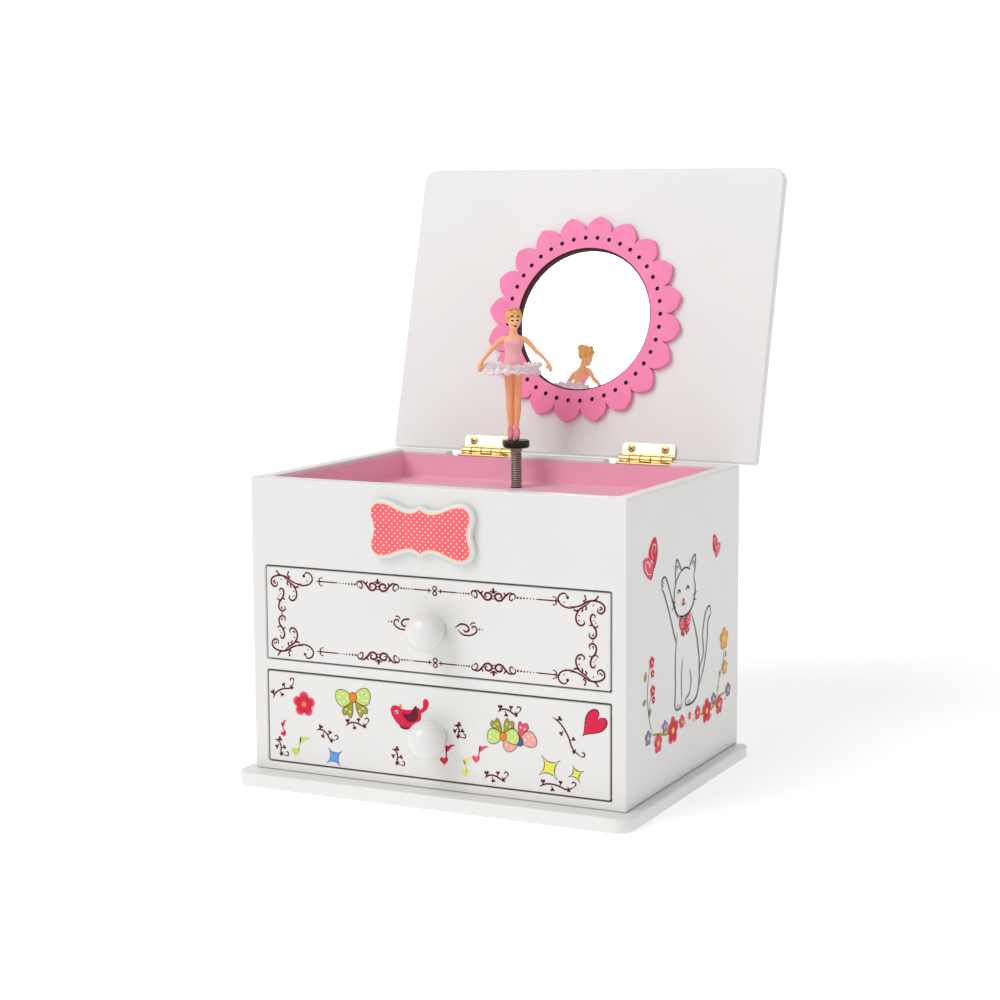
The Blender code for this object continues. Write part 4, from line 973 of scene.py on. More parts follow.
class MUSICBOX_OT_mirror(bpy.types.Operator):
    """Builds the round mirror glass and the scalloped ring round it"""

    bl_idname = "musicbox.mirror"
    bl_label = "Mirror and ring"

    def execute(self, context):
        sizes = setting("mirror")
        low, high = in_lid_frame("mirror")
        middle = (low + high) / 2
        radius = (high.x - low.x) / 2
        deep = high.z - low.z
        profile = [(0, deep), (radius, deep), (radius, GLASS_EDGE), (radius - GLASS_SLOPE, 0), (0, 0)]
        glass = soften(coated(turned(profile, 96), "mirror"), 25)
        spot = LID_FRAME @ Matrix.Translation((middle.x, middle.y, low.z))
        place_piece("mirror_glass", glass, "lid", ["mirror"], spot)

        ring_low, ring_high = in_lid_frame("mirror_ring")
        holes = [
            circle(sizes.dot, 14, sizes.dot_circle * cos(a), sizes.dot_circle * sin(a))
            for a in (pi * i / sizes.petals for i in range(2 * sizes.petals))
        ]
        edge = petal_edge(sizes.petals, sizes.notch, sizes.tip)
        thick = ring_high.z - ring_low.z
        mesh = slab([edge, circle(sizes.hole, 128)] + holes, 0, thick + SHUT_GAP - 0.00005, RING_EDGE, 1)
        coated(mesh, "ring", "scorch_and_shade")
        # The cut walls inside the circle of small holes take the dark edge colour: scorched board, and
        # painted shade on the opening's wall and in the holes
        for face in mesh.polygons:
            inside = face.center.xy.length < sizes.dot_circle + 2 * sizes.dot
            face.material_index = int(inside and abs(face.normal.z) < 0.5)
        spot = LID_FRAME @ Matrix.Translation((middle.x, middle.y, ring_low.z))
        turned_spot = spot @ Matrix.Rotation(RING_TURN, 4, "Z")
        place_piece("scalloped_ring", soften(mesh), "lid", ["mirror_ring"], turned_spot)
        # A dark line round the opening that reaches over the glass's edge: painted shadow and reflection of
        # the ring's inner wall
        outline = [circle(sizes.hole + LINE_OUT, 128), circle(sizes.hole - LINE_IN, 128)]
        line = coated(slab(outline, thick / 2, thick + SHUT_GAP - 0.00002), "scorch_and_shade")
        place_piece("ring_shadow_line", soften(line), "lid", (), spot)
        return {"FINISHED"}


def petal_edge(petals, notch, tip, steps=28):
    """A round edge of petals with soft points and sharp notches between them."""
    points = []
    for i in range(petals * steps):
        t = abs((i % steps) / steps * 2 - 1)
        rise = 0.74 * (1 - t ** 2.3) ** 0.55 + 0.26 * (1 - t) ** 1.5
        radius = notch + (tip - notch) * rise
        turn = 2 * pi * i / (petals * steps)
        points.append((radius * cos(turn), radius * sin(turn)))
    return points


# ---- Plaque ----
EAR = Vector((0.0171, 0.0060))
EAR_RADIUS = 0.0043
VALLEY = Vector((0.0045, 0.0070))
PEAK = 0.00875
WAIST = 0.0200
BORDER = 0.0012
RIM_LINE = 0.00042
CARD_LAP = 0.0001


def plaque_quarter(margin):
    """From the point at the top's middle, over the ear, to the waist at the side, moved out by a margin."""
    points = []
    steps = 14
    for i in range(steps):
        t = i / steps
        points.append(Vector((VALLEY.x * t, VALLEY.y + (PEAK - VALLEY.y) * (1 - t) ** 2)))
    ear_top = EAR.y + EAR_RADIUS
    for i in range(steps):
        t = i / steps
        rise = (1 - cos(pi * t)) / 2
        points.append(Vector((VALLEY.x + (EAR.x - VALLEY.x) * t, VALLEY.y + (ear_top - VALLEY.y) * rise)))
    last_turn = radians(-20)
    for i in range(steps):
        turn = pi / 2 + (last_turn - pi / 2) * i / (steps - 1)
        points.append(EAR + EAR_RADIUS * Vector((cos(turn), sin(turn))))
    side = points[-1].copy()
    for i in range(1, steps):
        t = 1 - i / steps
        points.append(Vector((WAIST + (side.x - WAIST) * t ** 1.6, side.y * t)))
    moved_out = []
    for i, point in enumerate(points):
        run = (points[min(i + 1, len(points) - 1)] - points[max(i - 1, 0)]).normalized()
        moved_out.append(Vector((max(point.x - run.y * margin, 0), max(point.y + run.x * margin, 0))))
    moved_out[0].x = 0
    return moved_out


def plaque_edge(margin):
    quarter = plaque_quarter(margin)
    waist = (WAIST + margin, 0.0)
    right = [tuple(point) for point in quarter] + [waist]
    right += [(point.x, -point.y) for point in reversed(quarter)]
    left = [(-point.x, -point.y) for point in quarter[1:]] + [(-waist[0], 0.0)]
    left += [(-point.x, point.y) for point in reversed(quarter[1:])]
    return list(reversed(right + left))


class MUSICBOX_OT_plaque(bpy.types.Operator):
    """Builds the white plaque with its dotted coral print"""

    bl_idname = "musicbox.plaque"
    bl_label = "Plaque"

    def execute(self, context):
        low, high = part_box("plaque_backing")
        middle = (low + high) / 2
        thick = high.y - low.y
        spot = Matrix.Translation((middle.x, CASE_LOW.y, middle.z)) @ ALONG_FRONT
        backing = coated(slab([plaque_edge(BORDER)], 0, thick, 0.0008, 3), "lacquer")
        place_piece("plaque_board", soften(backing), "root", ["plaque_backing"], spot)
        low = thick - CARD_LAP
        card = coated(slab([plaque_edge(-CARD_LAP)], low, thick + 0.0002), "coral")
        place_piece("plaque_print", soften(card), "root", ["plaque_card"], spot)
        outlines = [plaque_edge(0.0), plaque_edge(-RIM_LINE)]
        rim = coated(slab(outlines, low, thick + 0.00026), "ink cream")
        place_piece("plaque_rim", soften(rim), "root", (), spot)
        return {"FINISHED"}


# ---- Drawers ----
DRAWERS = ("upper_drawer", "lower_drawer")
FRONT_EDGE = 0.0005
NECK = 0.0036


class MUSICBOX_OT_drawers(bpy.types.Operator):
    """Builds the drawer fronts with eased edges and the turned knobs, and finishes the drawers' boxes"""

    bl_idname = "musicbox.drawers"
    bl_label = "Drawers"

    def execute(self, context):
        for drawer in DRAWERS:
            front = drawer + "_front"
            mesh = block(span(front, 0), span(front, 1), span(front, 2))
            mesh = coated(rounded(mesh, FRONT_EDGE, 2), "lacquer")
            place_piece(drawer + "_face", soften(mesh), drawer, [front])
            low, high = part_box(drawer + "_knob")
            middle = (low + high) / 2
            knob = soften(coated(turned(knob_profile(high.x - low.x, high.y - low.y), 64), "gloss"))
            spot = Matrix.Translation((middle.x, high.y, middle.z)) @ ALONG_FRONT
            place_piece(drawer + "_pull", knob, drawer, [drawer + "_knob"], spot)
            refinish("lacquer", drawer + "_left", drawer + "_right", drawer + "_back")
            refinish("board", drawer + "_bottom")
            refinish("plated", drawer + "_knob_screw")
        return {"FINISHED"}


def knob_profile(width, reach):
    """From the seat on the drawer front, along the neck and round the slightly flattened ball."""
    radius = width / 2
    deep = radius * 0.9
    middle = reach - deep
    profile = [(0, 0), (NECK + 0.0009, 0), (NECK + 0.0010, 0.0003), (NECK + 0.0007, 0.0008), (NECK, 0.0013)]
    start = 0.52
    steps = 26
    for i in range(steps + 1):
        turn = start + (pi - start) * i / steps
        profile.append((radius * sin(turn) if i < steps else 0, middle - deep * cos(turn)))
    return profile


# ---- Tray ----
LINING = 0.0008
SPINDLE_HOLE = 0.0026


class MUSICBOX_OT_tray(bpy.types.Operator):
    """Builds the flocked lining with its soft corners, and finishes the boards under it"""

    bl_idname = "musicbox.tray"
    bl_label = "Tray lining"

    def execute(self, context):
        sizes = setting("tray")
        low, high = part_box("tray_lining")
        outer = block((low.x, high.x), (low.y, high.y), (low.z, high.z))
        inner = (low.x + LINING, high.x - LINING), (low.y + LINING, high.y - LINING)
        hollow = rounded(block(*inner, (low.z + LINING, high.z + 0.02)), sizes.corner, 4)
        hole = turned([(0, -0.01), (SPINDLE_HOLE, -0.01), (SPINDLE_HOLE, 0.01), (0, 0.01)], 32)
        moved(hole, Matrix.Translation((BEND.x, BEND.y, low.z)))
        mesh = coated(worked(outer, [], [hollow, hole]), "flock")
        place_piece("flocked_lining", soften(mesh), "root", ["tray_lining"])
        refinish("board", "tray_floor", "dust_board", "movement_partition")
        return {"FINISHED"}


# ---- Hinges ----
KNUCKLES = 5
BARREL = 0.0018
LEAF = 0.0008
PIN = 0.0007
KNUCKLE_GAP = 0.00007
KNUCKLE_LIP = 0.00022
SCREW_CROWN = 0.00062
SCREW_RIM = 0.00012
CROSS_HALF_WIDTH = 0.00022
CROSS_FLOOR = 0.00028


def hinge_leaf(length, reach, lift, own):
    """A leaf with its axis along X at the origin: a plate towards -Y and its own rolled knuckles."""
    half = length / 2
    low, high = sorted((lift * BARREL, lift * (BARREL - LEAF)))
    corners = (0.0001, 0.0001, 0.0016, 0.0016)
    outline = rounded_rectangle((-half, half), (-reach, -BARREL * 1.1), corners, 8)
    parts = [slab([outline], low, high, 0.00016, 2)]
    pitch = length / KNUCKLES
    for knuckle in own:
        left = -half + knuckle * pitch + KNUCKLE_GAP
        right = left + pitch - 2 * KNUCKLE_GAP
        profile = [(0, left), (BARREL - KNUCKLE_LIP, left), (BARREL, left + KNUCKLE_LIP)]
        profile += [(BARREL, right - KNUCKLE_LIP), (BARREL - KNUCKLE_LIP, right), (0, right)]
        parts.append(moved(turned(profile, 40), ALONG_X))
        parts.append(block((left, right), (-BARREL * 1.4, -BARREL * 0.5), (low, high)))
    return parts


def hinge_screw(radius):
    """A domed screw head along Z, with a cross cut in it. The faces down in the cross are inked dark brown as
    painted shade in the recess.
    """
    profile = [(0, 0), (radius, 0), (radius, SCREW_RIM)]
    steps = 8
    for i in range(steps + 1):
        turn = pi / 2 * i / steps
        height = SCREW_RIM + (SCREW_CROWN - SCREW_RIM) * sin(turn)
        profile.append((radius * cos(turn) if i < steps else 0, height))
    long = (-radius * 0.62, radius * 0.62)
    narrow = (-CROSS_HALF_WIDTH, CROSS_HALF_WIDTH)
    upright = (CROSS_FLOOR, 0.002)
    arms = [block(long, narrow, upright), block(narrow, long, upright)]
    head = coated(worked(turned(profile, 32), [], arms), "shadowed", "ink brown")
    # the faces down in the cross take the dark brown ink: painted shade in the recess
    for face in head.polygons:
        in_cross = face.center.xy.length < radius * 0.64 and face.center.z > 0.0001
        on_dome = face.normal.z > 0.2 and face.center.z > CROSS_FLOOR + 0.00002
        face.material_index = int(in_cross and not on_dome)
    return head


def knuckle_shaded(mesh):
    """Bright plate with darker knuckles, which are the faces close round the pin. The knuckles' darker brass
    is painted shade, standing in for the dark reflections on the polished barrel.
    """
    coated(mesh, "brass", "shadowed")
    for face in mesh.polygons:
        face.material_index = int(face.center.yz.length < BARREL * 1.02)
    return mesh


def place_hinge_part(side, part, mesh, body, matrix):
    replaced = [f"{side}_hinge_{part}"]
    place_piece(f"{side}_{part}", soften(mesh), body, replaced, matrix)


class MUSICBOX_OT_hinges(bpy.types.Operator):
    """Builds the two brass butt hinges with their rolled knuckles, pins and cross-head screws"""

    bl_idname = "musicbox.hinges"
    bl_label = "Hinges"

    def execute(self, context):
        for side in ("left", "right"):
            self.build_hinge(side)
        return {"FINISHED"}

    def build_hinge(self, side):
        low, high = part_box(f"{side}_hinge_case_leaf")
        along = (low.x + high.x) / 2
        pin_left, pin_right = span(f"{side}_hinge_pin", 0)
        length = pin_right - pin_left
        on_case = Matrix.Translation((along, HINGE.y, HINGE.z))
        on_lid = LID_FRAME @ Matrix.Translation((along - HINGE.x, 0, 0))
        lid_reach = -in_lid_frame(f"{side}_hinge_lid_leaf")[0].y

        leaf = knuckle_shaded(joined(hinge_leaf(length, HINGE.y - low.y, -1, range(1, KNUCKLES, 2))))
        place_hinge_part(side, "case_leaf", leaf, "root", on_case)
        leaf = knuckle_shaded(joined(hinge_leaf(length, lid_reach, 1, range(0, KNUCKLES, 2))))
        place_hinge_part(side, "lid_leaf", leaf, "lid", on_lid)
        half = length / 2
        pin = moved(turned([(0, -half), (PIN, -half), (PIN, half), (0, half)], 24), ALONG_X)
        place_hinge_part(side, "pin", coated(pin, "shadowed"), "root", on_case)

        flip = Matrix.Rotation(pi, 4, "X")
        first_turn = 0.7 if side == "left" else 0.2
        for number in (1, 2):
            skew = Matrix.Rotation(0.5 * number + first_turn, 4, "Z")
            screw = f"case_screw_{number}"
            low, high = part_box(f"{side}_hinge_{screw}")
            middle = (low + high) / 2
            spot = Matrix.Translation((middle.x, middle.y, HINGE.z - BARREL + LEAF)) @ skew
            place_hinge_part(side, screw, hinge_screw((high.x - low.x) / 2), "root", spot)
            screw = f"lid_screw_{number}"
            low, high = in_lid_frame(f"{side}_hinge_{screw}")
            middle = (low + high) / 2
            spot = LID_FRAME @ Matrix.Translation((middle.x, middle.y, BARREL - LEAF)) @ flip @ skew
            place_hinge_part(side, screw, hinge_screw((high.x - low.x) / 2), "lid", spot)


# ---- Spring and stand ----
WIRE = 0.00043
COIL_PITCH = 2 * WIRE * 1.04
DISC = 0.0032
FERRULE = 0.0016


class MUSICBOX_OT_spring(bpy.types.Operator):
    """Builds the coil spring, and the ferrule and disc on top of it"""

    bl_idname = "musicbox.spring"
    bl_label = "Spring and stand"

    def execute(self, context):
        low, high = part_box("coil_spring")
        radius = (high.x - low.x) / 2 - WIRE
        foot = low.z + WIRE
        top = high.z - WIRE
        coils = int((top - foot) / COIL_PITCH)
        steps = 22
        points = []
        for i in range(coils * steps + 1):
            turn = 2 * pi * i / steps
            height = foot + (top - foot) * i / (coils * steps)
            points.append(Vector((BEND.x + radius * cos(turn), BEND.y + radius * sin(turn), height)))
        coil = coated(tube(points, WIRE, 8), "steel")
        coil.shade_smooth()
        coil.name = "coil"
        spring = in_scene("coil", coil)
        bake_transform(spring)
        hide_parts("coil_spring")

        disc_low, disc_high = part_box("figure_disc")
        wide = (disc_high.x - disc_low.x) / 2
        profile = [(0, -DISC), (wide - 0.0006, -DISC), (wide - 0.0001, 0.0004 - DISC)]
        profile += [(wide, 0.0010 - DISC), (wide, -0.0007), (wide - 0.00015, -0.0003)]
        profile += [(wide - 0.0006, 0), (0, 0)]
        spot = Matrix.Translation(SPIN)
        disc = soften(coated(turned(profile, 64), "disc"), 50)
        place_piece("stand_disc", disc, "figure", ["figure_disc"], spot)
        outer = radius + WIRE
        lip = outer + 0.0002
        foot = -DISC - FERRULE
        profile = [(0, foot), (outer - 0.0002, foot), (lip, foot + 0.0002), (lip, -DISC - 0.0001)]
        ferrule = soften(coated(turned(profile + [(0, -DISC - 0.0001)], 48), "steel"))
        place_piece("spring_ferrule", ferrule, "figure", (), spot)
        refinish("steel", "spindle")
        return {"FINISHED"}


# ---- Dancer ----
MM = 0.001
BODY_X = -1.0  # the dancer stands this far left of the disc's middle, in mm
HEAD_TURN = radians(12)
HEAD = Vector((-0.75, -0.1, 0.0))
TORSO = (  # height, half width, half depth and forward shift, in mm over the disc
    (27.0, 3.5, 2.3, 0.0), (28.2, 4.2, 2.85, 0.0), (31.0, 4.25, 2.9, 0.0), (33.4, 3.65, 2.5, 0.0),
    (35.8, 3.0, 2.15, 0.0), (38.0, 3.3, 2.4, 0.1), (40.2, 3.8, 2.85, 0.3), (41.6, 4.05, 2.7, 0.2),
    (42.8, 3.7, 2.1, 0.0), (43.5, 2.6, 1.7, -0.1), (44.2, 1.75, 1.5, -0.1), (45.2, 1.5, 1.5, 0.0),
    (47.4, 1.6, 1.7, 0.2),
)
SKULL = (  # the same for the head, about its own upright axis
    (45.9, 0.55, 0.5, 2.0), (46.4, 1.25, 1.25, 1.5), (47.2, 1.95, 2.1, 0.8), (48.2, 2.4, 2.65, 0.45),
    (49.4, 2.7, 2.95, 0.2), (50.8, 2.9, 3.1, 0.0), (52.2, 2.85, 3.0, -0.1), (53.4, 2.35, 2.5, -0.2),
    (54.2, 1.4, 1.6, -0.3), (54.5, 0.4, 0.5, -0.3),
)
LEG = (  # height, outward shift, radius
    (27.5, 1.95, 1.95), (23.5, 1.85, 1.85), (19.4, 1.72, 1.62), (17.6, 1.66, 1.55), (14.0, 1.62, 1.6),
    (10.5, 1.48, 1.38), (7.6, 1.28, 1.14), (5.6, 1.22, 1.05), (3.0, 1.28, 1.0),
)
SHOE = (  # height, half width, half depth, forward shift
    (0.02, 0.75, 0.85, 0.5), (0.25, 1.08, 1.25, 0.5), (1.4, 1.26, 1.5, 0.45), (2.8, 1.36, 1.5, 0.3),
    (3.9, 1.34, 1.38, 0.15), (4.7, 1.26, 1.26, 0.05), (4.9, 1.1, 1.1, 0.05),
)


def ring_of(x, y, z, wide, deep, sides=28):
    return [Vector((x + wide * cos(a), y + deep * sin(a), z)) * MM for a in around(sides)]


def skin_rings(rings):
    """A closed mesh through a stack of rings."""
    def build(bm):
        made = [[bm.verts.new(point) for point in ring] for ring in rings]
        for below, above in zip(made, made[1:]):
            for i in range(len(below)):
                j = (i + 1) % len(below)
                bm.faces.new((below[i], below[j], above[j], above[i]))
        bm.faces.new(made[0])
        bm.faces.new(made[-1])

    return mesh_of(build)


def bead(x, y, z, wide, deep, tall, rings=8, sides=20):
    """A small closed egg shape."""
    levels = []
    for i in range(rings + 1):
        turn = pi * (i + 0.02) / (rings + 0.04)
        size = max(sin(turn), 0.02)
        levels.append(ring_of(x, y, z - tall * cos(turn), wide * size, deep * size, sides))
    return skin_rings(levels)


def limb(points, radii):
    """A smooth round limb through points in mm."""
    path = smooth_path(points, 5)
    sizes = [size.x for size in smooth_path([(radius, 0) for radius in radii], 5)]
    return tube([point * MM for point in path], [max(size, 0.05) * MM for size in sizes], 20)


def fused(meshes, grain, smoothing):
    """Overlapping solids melted into one smooth skin."""
    remesh = ("REMESH", {"mode": "VOXEL", "voxel_size": grain, "adaptivity": 0.0})
    relax = ("SMOOTH", {"factor": 0.5, "iterations": smoothing})
    mesh = worked(joined(meshes), [remesh, relax])
    mesh.shade_smooth()
    return mesh


def head_place():
    return Matrix.Translation(HEAD * MM) @ Matrix.Rotation(HEAD_TURN, 4, "Z")


LEFT_ARM = (
    (-4.6, 0.1, 42.3), (-6.6, 0, 41.0), (-8.6, -0.3, 39.2), (-10.2, -0.6, 37.4), (-12.2, -1.2, 35.2),
    (-13.9, -1.7, 32.8),
)
RIGHT_ARM = (
    (2.6, 0.1, 42.3), (4.6, 0.2, 41.2), (6.4, 0.2, 39.4), (8.2, 0, 37.2), (10.8, -0.6, 35.0),
    (12.8, -1.1, 32.8),
)
ARM_RADII = (1.3, 1.22, 1.08, 0.98, 0.86, 0.68)
LEFT_PALM = ((-13.8, -1.7, 33.0), (-14.6, -2.0, 31.2), (-14.7, -2.1, 29.6), (-14.4, -2.0, 28.6))
LEFT_THUMB = ((-13.9, -1.9, 31.6), (-13.3, -2.2, 30.4), (-13.2, -2.2, 29.8))
RIGHT_PALM = ((12.7, -1.1, 33.0), (13.8, -1.3, 31.2), (14.3, -1.4, 29.6), (14.4, -1.5, 28.2))
RIGHT_THUMB = ((13.1, -1.4, 31.4), (12.8, -1.8, 30.3), (13.0, -1.9, 29.6))
HANDS = (  # the left hand is closed, and the right one hangs open
    (LEFT_PALM, (0.7, 1.1, 1.12, 0.6)), (LEFT_THUMB, (0.5, 0.45, 0.3)),
    (RIGHT_PALM, (0.68, 0.95, 0.85, 0.42)), (RIGHT_THUMB, (0.5, 0.42, 0.28)),
)


def body_mesh():
    parts = [skin_rings([ring_of(BODY_X, -shift, z, wide, deep) for z, wide, deep, shift in TORSO])]
    for side in (-1, 1):
        shin = [(BODY_X + side * out, 0, z) for z, out, radius in LEG]
        parts.append(limb(shin, [radius for z, out, radius in LEG]))
        parts.append(bead(BODY_X + side * 1.75, -1.75, 40.6, 1.5, 1.2, 1.35))
        parts.append(bead(BODY_X + side * 3.6, 0.1, 42.1, 1.35, 1.3, 1.2))
    parts += [limb(LEFT_ARM, ARM_RADII), limb(RIGHT_ARM, ARM_RADII)]
    parts += [limb(points, radii) for points, radii in HANDS]
    return fused(parts, 0.2 * MM, 3)


def head_mesh():
    parts = [skin_rings([ring_of(0, -shift, z, wide, deep) for z, wide, deep, shift in SKULL])]
    parts.append(bead(0, -3.05, 48.75, 0.36, 0.5, 0.55))
    parts.append(bead(0, -2.8, 49.5, 0.26, 0.42, 0.9))
    parts.append(bead(0, -2.45, 46.65, 0.75, 0.7, 0.6))
    for side in (-1, 1):
        parts.append(bead(side * 1.35, -2.1, 48.3, 0.95, 0.75, 0.8))
        parts.append(bead(side * 2.75, 0.3, 49.0, 0.35, 0.6, 0.8))
    return moved(fused(parts, 0.14 * MM, 3), head_place())


PAINT_LIFT = 0.035
PAINT_LAYER = 0.012


def surface_of(mesh):
    """A tree of the mesh's faces, to find where a line meets them."""
    return BVHTree.FromPolygons([v.co for v in mesh.vertices], [p.vertices for p in mesh.polygons])


def pressed_on(marks, target):
    """Painted shapes, drawn in mm as seen from her front, laid on the front of the head."""
    tree = surface_of(target)
    place = head_place()
    back = place.to_3x3() @ Vector((0, 1, 0))
    parts = []
    for ink, layer, outline in marks:
        middle = sum(outline, Vector((0, 0))) / len(outline)
        rows = [[middle.lerp(point, share) for point in outline] for share in (1.0, 0.66, 0.33)]
        spots = []
        for point in [middle] + [point for row in rows for point in row]:
            start = place @ (Vector((point.x, -8.0, point.y)) * MM)
            hit = tree.ray_cast(start, back)
            spot = hit[0] if hit[0] else start
            spots.append(spot - back * (PAINT_LIFT + PAINT_LAYER * layer) * MM)
        count = len(outline)
        faces = []
        for i in range(count):
            j = (i + 1) % count
            for row in range(2):
                outer, inner = 1 + row * count, 1 + (row + 1) * count
                faces.append((outer + i, outer + j, inner + j, inner + i))
            faces.append((1 + 2 * count + i, 1 + 2 * count + j, 0))
        mesh = bpy.data.meshes.new("paint")
        mesh.from_pydata(spots, [], faces)
        mesh.materials.append(finish("ink " + ink))
        parts.append(mesh)
    return joined(parts)


def face_marks():
    """Lowered lashes, brows, rosy cheeks and a smiling mouth."""
    marks = []
    for side in (-1, 1):
        marks.append(dot("blush", side * 1.6, 48.2, 0.42, 0))
        brow = [(side * 0.55, 51.05), (side * 1.05, 51.5), (side * 1.75, 51.2)]
        marks.append(pen("brown", brow, 0.42, 1))
        lid = [(side * 0.5, 49.95), (side * 1.05, 49.6), (side * 1.75, 49.95)]
        marks.append(pen("brown", lid, 0.4, 2, ends=(0.4, 0.7)))
        marks.append(dot("black", side * 1.12, 49.72, 0.27, 3))
    mouth = [(-0.95, 47.95), (-0.35, 47.75), (0.35, 47.75), (0.95, 47.95), (0.55, 47.15), (0, 46.9)]
    marks.append(shape("lip", mouth + [(-0.55, 47.15)], 1))
    return marks


def hair_mesh():
    """Golden hair swept back from a centre parting into a bun."""
    shell = []
    for z, wide, deep, shift in SKULL[3:]:
        shell.append(ring_of(0, 0.75 - shift, z + 0.12, wide + 0.28, deep + 0.22))
    parts = [skin_rings(shell), bead(0, 3.3, 52.6, 1.9, 1.6, 1.8), bead(0, 2.4, 50.2, 2.1, 1.3, 2.2)]
    for side in (-1, 1):
        sweep = ((0.2 * side, -2.75, 52.9), (1.3 * side, -2.75, 52.4), (2.4 * side, -2.0, 51.4),
                 (2.95 * side, -0.9, 50.3), (3.0 * side, 0.6, 49.8), (2.5 * side, 2.2, 50.0))
        parts.append(limb(sweep, (0.38, 0.52, 0.58, 0.58, 0.6, 0.6)))
        lower = ((0.4 * side, -2.6, 53.3), (1.7 * side, -2.2, 53.2), (2.7 * side, -1.0, 52.2),
                 (3.0 * side, 0.8, 51.2))
        parts.append(limb(lower, (0.34, 0.5, 0.55, 0.55)))
    return moved(fused(parts, 0.15 * MM, 2), head_place())


def tiara_mesh():
    """A low peach comb over the crown."""
    turns = [radians(18 + 144 * i / 10) for i in range(11)]
    arc = [Vector((2.55 * cos(a), -1.15, 52.55 + 2.25 * sin(a))) for a in turns]
    sizes = [0.35 + 0.28 * sin(pi * i / 10) for i in range(11)]
    parts = [limb(arc, sizes)]
    for spot in (arc[3], arc[5], arc[7]):
        parts.append(bead(spot.x, spot.y - 0.1, spot.z + 0.25, 0.5, 0.45, 0.5))
    return moved(fused(parts, 0.14 * MM, 2), head_place())


def torso_at(height):
    for low, high in zip(TORSO, TORSO[1:]):
        if low[0] <= height <= high[0]:
            t = (height - low[0]) / (high[0] - low[0])
            t = t * t * (3 - 2 * t)
            return [a + (b - a) * t for a, b in zip(low[1:], high[1:])]
    return list(TORSO[-1][1:])


def bodice_mesh(body):
    """A strapless bodice that follows the body, high in front and low at the back."""
    tree = surface_of(body)
    sides, rows = 56, 22
    hem = 31.2
    proud = 0.16

    def top_of(turn):
        front = max(-sin(turn), 0.0)
        back = max(sin(turn), 0.0)
        sweetheart = 1.5 * front ** 2 * abs(sin(2 * (turn + pi / 2)))
        return 40.9 + 0.6 * front + sweetheart - 5.2 * back ** 0.8

    def build(bm):
        columns = []
        for i in range(sides):
            turn = 2 * pi * i / sides
            top = top_of(turn)
            away = Vector((cos(turn), sin(turn), 0))
            column = []
            for j in range(rows + 1):
                height = hem + (top - hem) * j / rows
                wide, deep, shift = torso_at(height)
                middle = Vector((BODY_X, -shift, height)) * MM
                hit = tree.ray_cast(middle + away * 0.012, -away, 0.012)
                reach = wide * deep / sqrt((deep * cos(turn)) ** 2 + (wide * sin(turn)) ** 2) * MM
                if hit[0] and (hit[0] - middle).length < reach * 1.25:
                    reach = max((hit[0] - middle).length, reach * 0.9)
                lift = proud * (1 if j < rows else 0.0) * MM
                column.append(bm.verts.new(middle + away * (reach + lift)))
            columns.append(column)
        for i in range(sides):
            here, there = columns[i], columns[(i + 1) % sides]
            for j in range(rows):
                bm.faces.new((here[j], there[j], there[j + 1], here[j + 1]))

    mesh = worked(mesh_of(build), [("SMOOTH", {"factor": 0.4, "iterations": 2})])
    mesh.shade_smooth()
    return mesh


def shoe_mesh():
    """Two satin shoes with a crossed ribbon, the right one a little in front."""
    parts = []
    for side, ahead in ((-1, 0.1), (1, 0.55)):
        x = BODY_X + side * 1.32
        rings = [ring_of(x, -shift - ahead, z, wide, deep) for z, wide, deep, shift in SHOE]
        parts.append(skin_rings(rings))
        ribbon = ((x - 1.05, 0.1, 6.0), (x - 0.55, -1.15 - ahead * 0.5, 5.5),
                  (x + 0.6, -1.2 - ahead * 0.5, 4.4), (x + 1.15, -0.2, 3.8))
        parts.append(limb(ribbon, (0.3, 0.42, 0.42, 0.3)))
    return fused(parts, 0.16 * MM, 2)


TUTU_FOLDS = 18
TUTU_MIDDLE = 29.6
TUTU_WAIST = 4.4
TUTU_REACH = 7.0
TUTU_THICK = 0.82


def tutu_mesh():
    """A gathered ruffle: its upper and lower lips wave opposite ways, so that the folds zigzag."""
    sides = TUTU_FOLDS * 12
    section = (  # radius, height, radial wave, upright wave; the waves of the lower lip run against the upper
        (TUTU_WAIST, 2.4, 0.0, 0.0), (6.6, 2.15, 0.0, 0.15), (9.0, 1.9, 0.15, 0.45), (10.8, 2.2, 0.55, 0.8),
        (11.6, 2.35, 0.75, 0.85), (11.5, 1.95, 0.8, 0.7), (10.9, 1.1, 0.55, 0.35), (10.5, 0.0, 0.0, 0.0),
        (10.8, -1.0, -0.55, -0.35), (11.2, -1.75, -0.75, -0.7), (11.1, -2.2, -0.75, -0.85),
        (10.2, -2.05, -0.5, -0.7), (8.4, -1.5, -0.15, -0.4), (6.4, -1.0, 0.0, -0.15),
        (TUTU_WAIST, -0.6, 0.0, 0.0),
    )

    def build(bm):
        rings = []
        for i in range(sides):
            turn = 2 * pi * i / sides
            slow = 0.22 * sin(3 * turn + 0.7) + 0.14 * sin(5 * turn)
            phase = TUTU_FOLDS * turn + 1.3 * sin(2 * turn)
            wave, lean = sin(phase), cos(phase)
            ring = []
            for radius, height, across, upright in section:
                share = max(radius - TUTU_WAIST, 0) / TUTU_REACH
                r = radius + across * wave
                z = TUTU_MIDDLE + TUTU_THICK * (height + upright * lean) + slow * share
                swing = turn + 0.020 * (height / 2) * wave * share
                ring.append(bm.verts.new(Vector((BODY_X + r * cos(swing), r * sin(swing), z)) * MM))
            rings.append(ring)
        count = len(section)
        for i in range(sides):
            here, there = rings[i], rings[(i + 1) % sides]
            for j in range(count):
                k = (j + 1) % count
                bm.faces.new((here[j], here[k], there[k], there[j]))

    mesh = worked(mesh_of(build), [("SUBSURF", {"levels": 1, "render_levels": 1})])
    mesh.shade_smooth()
    return mesh


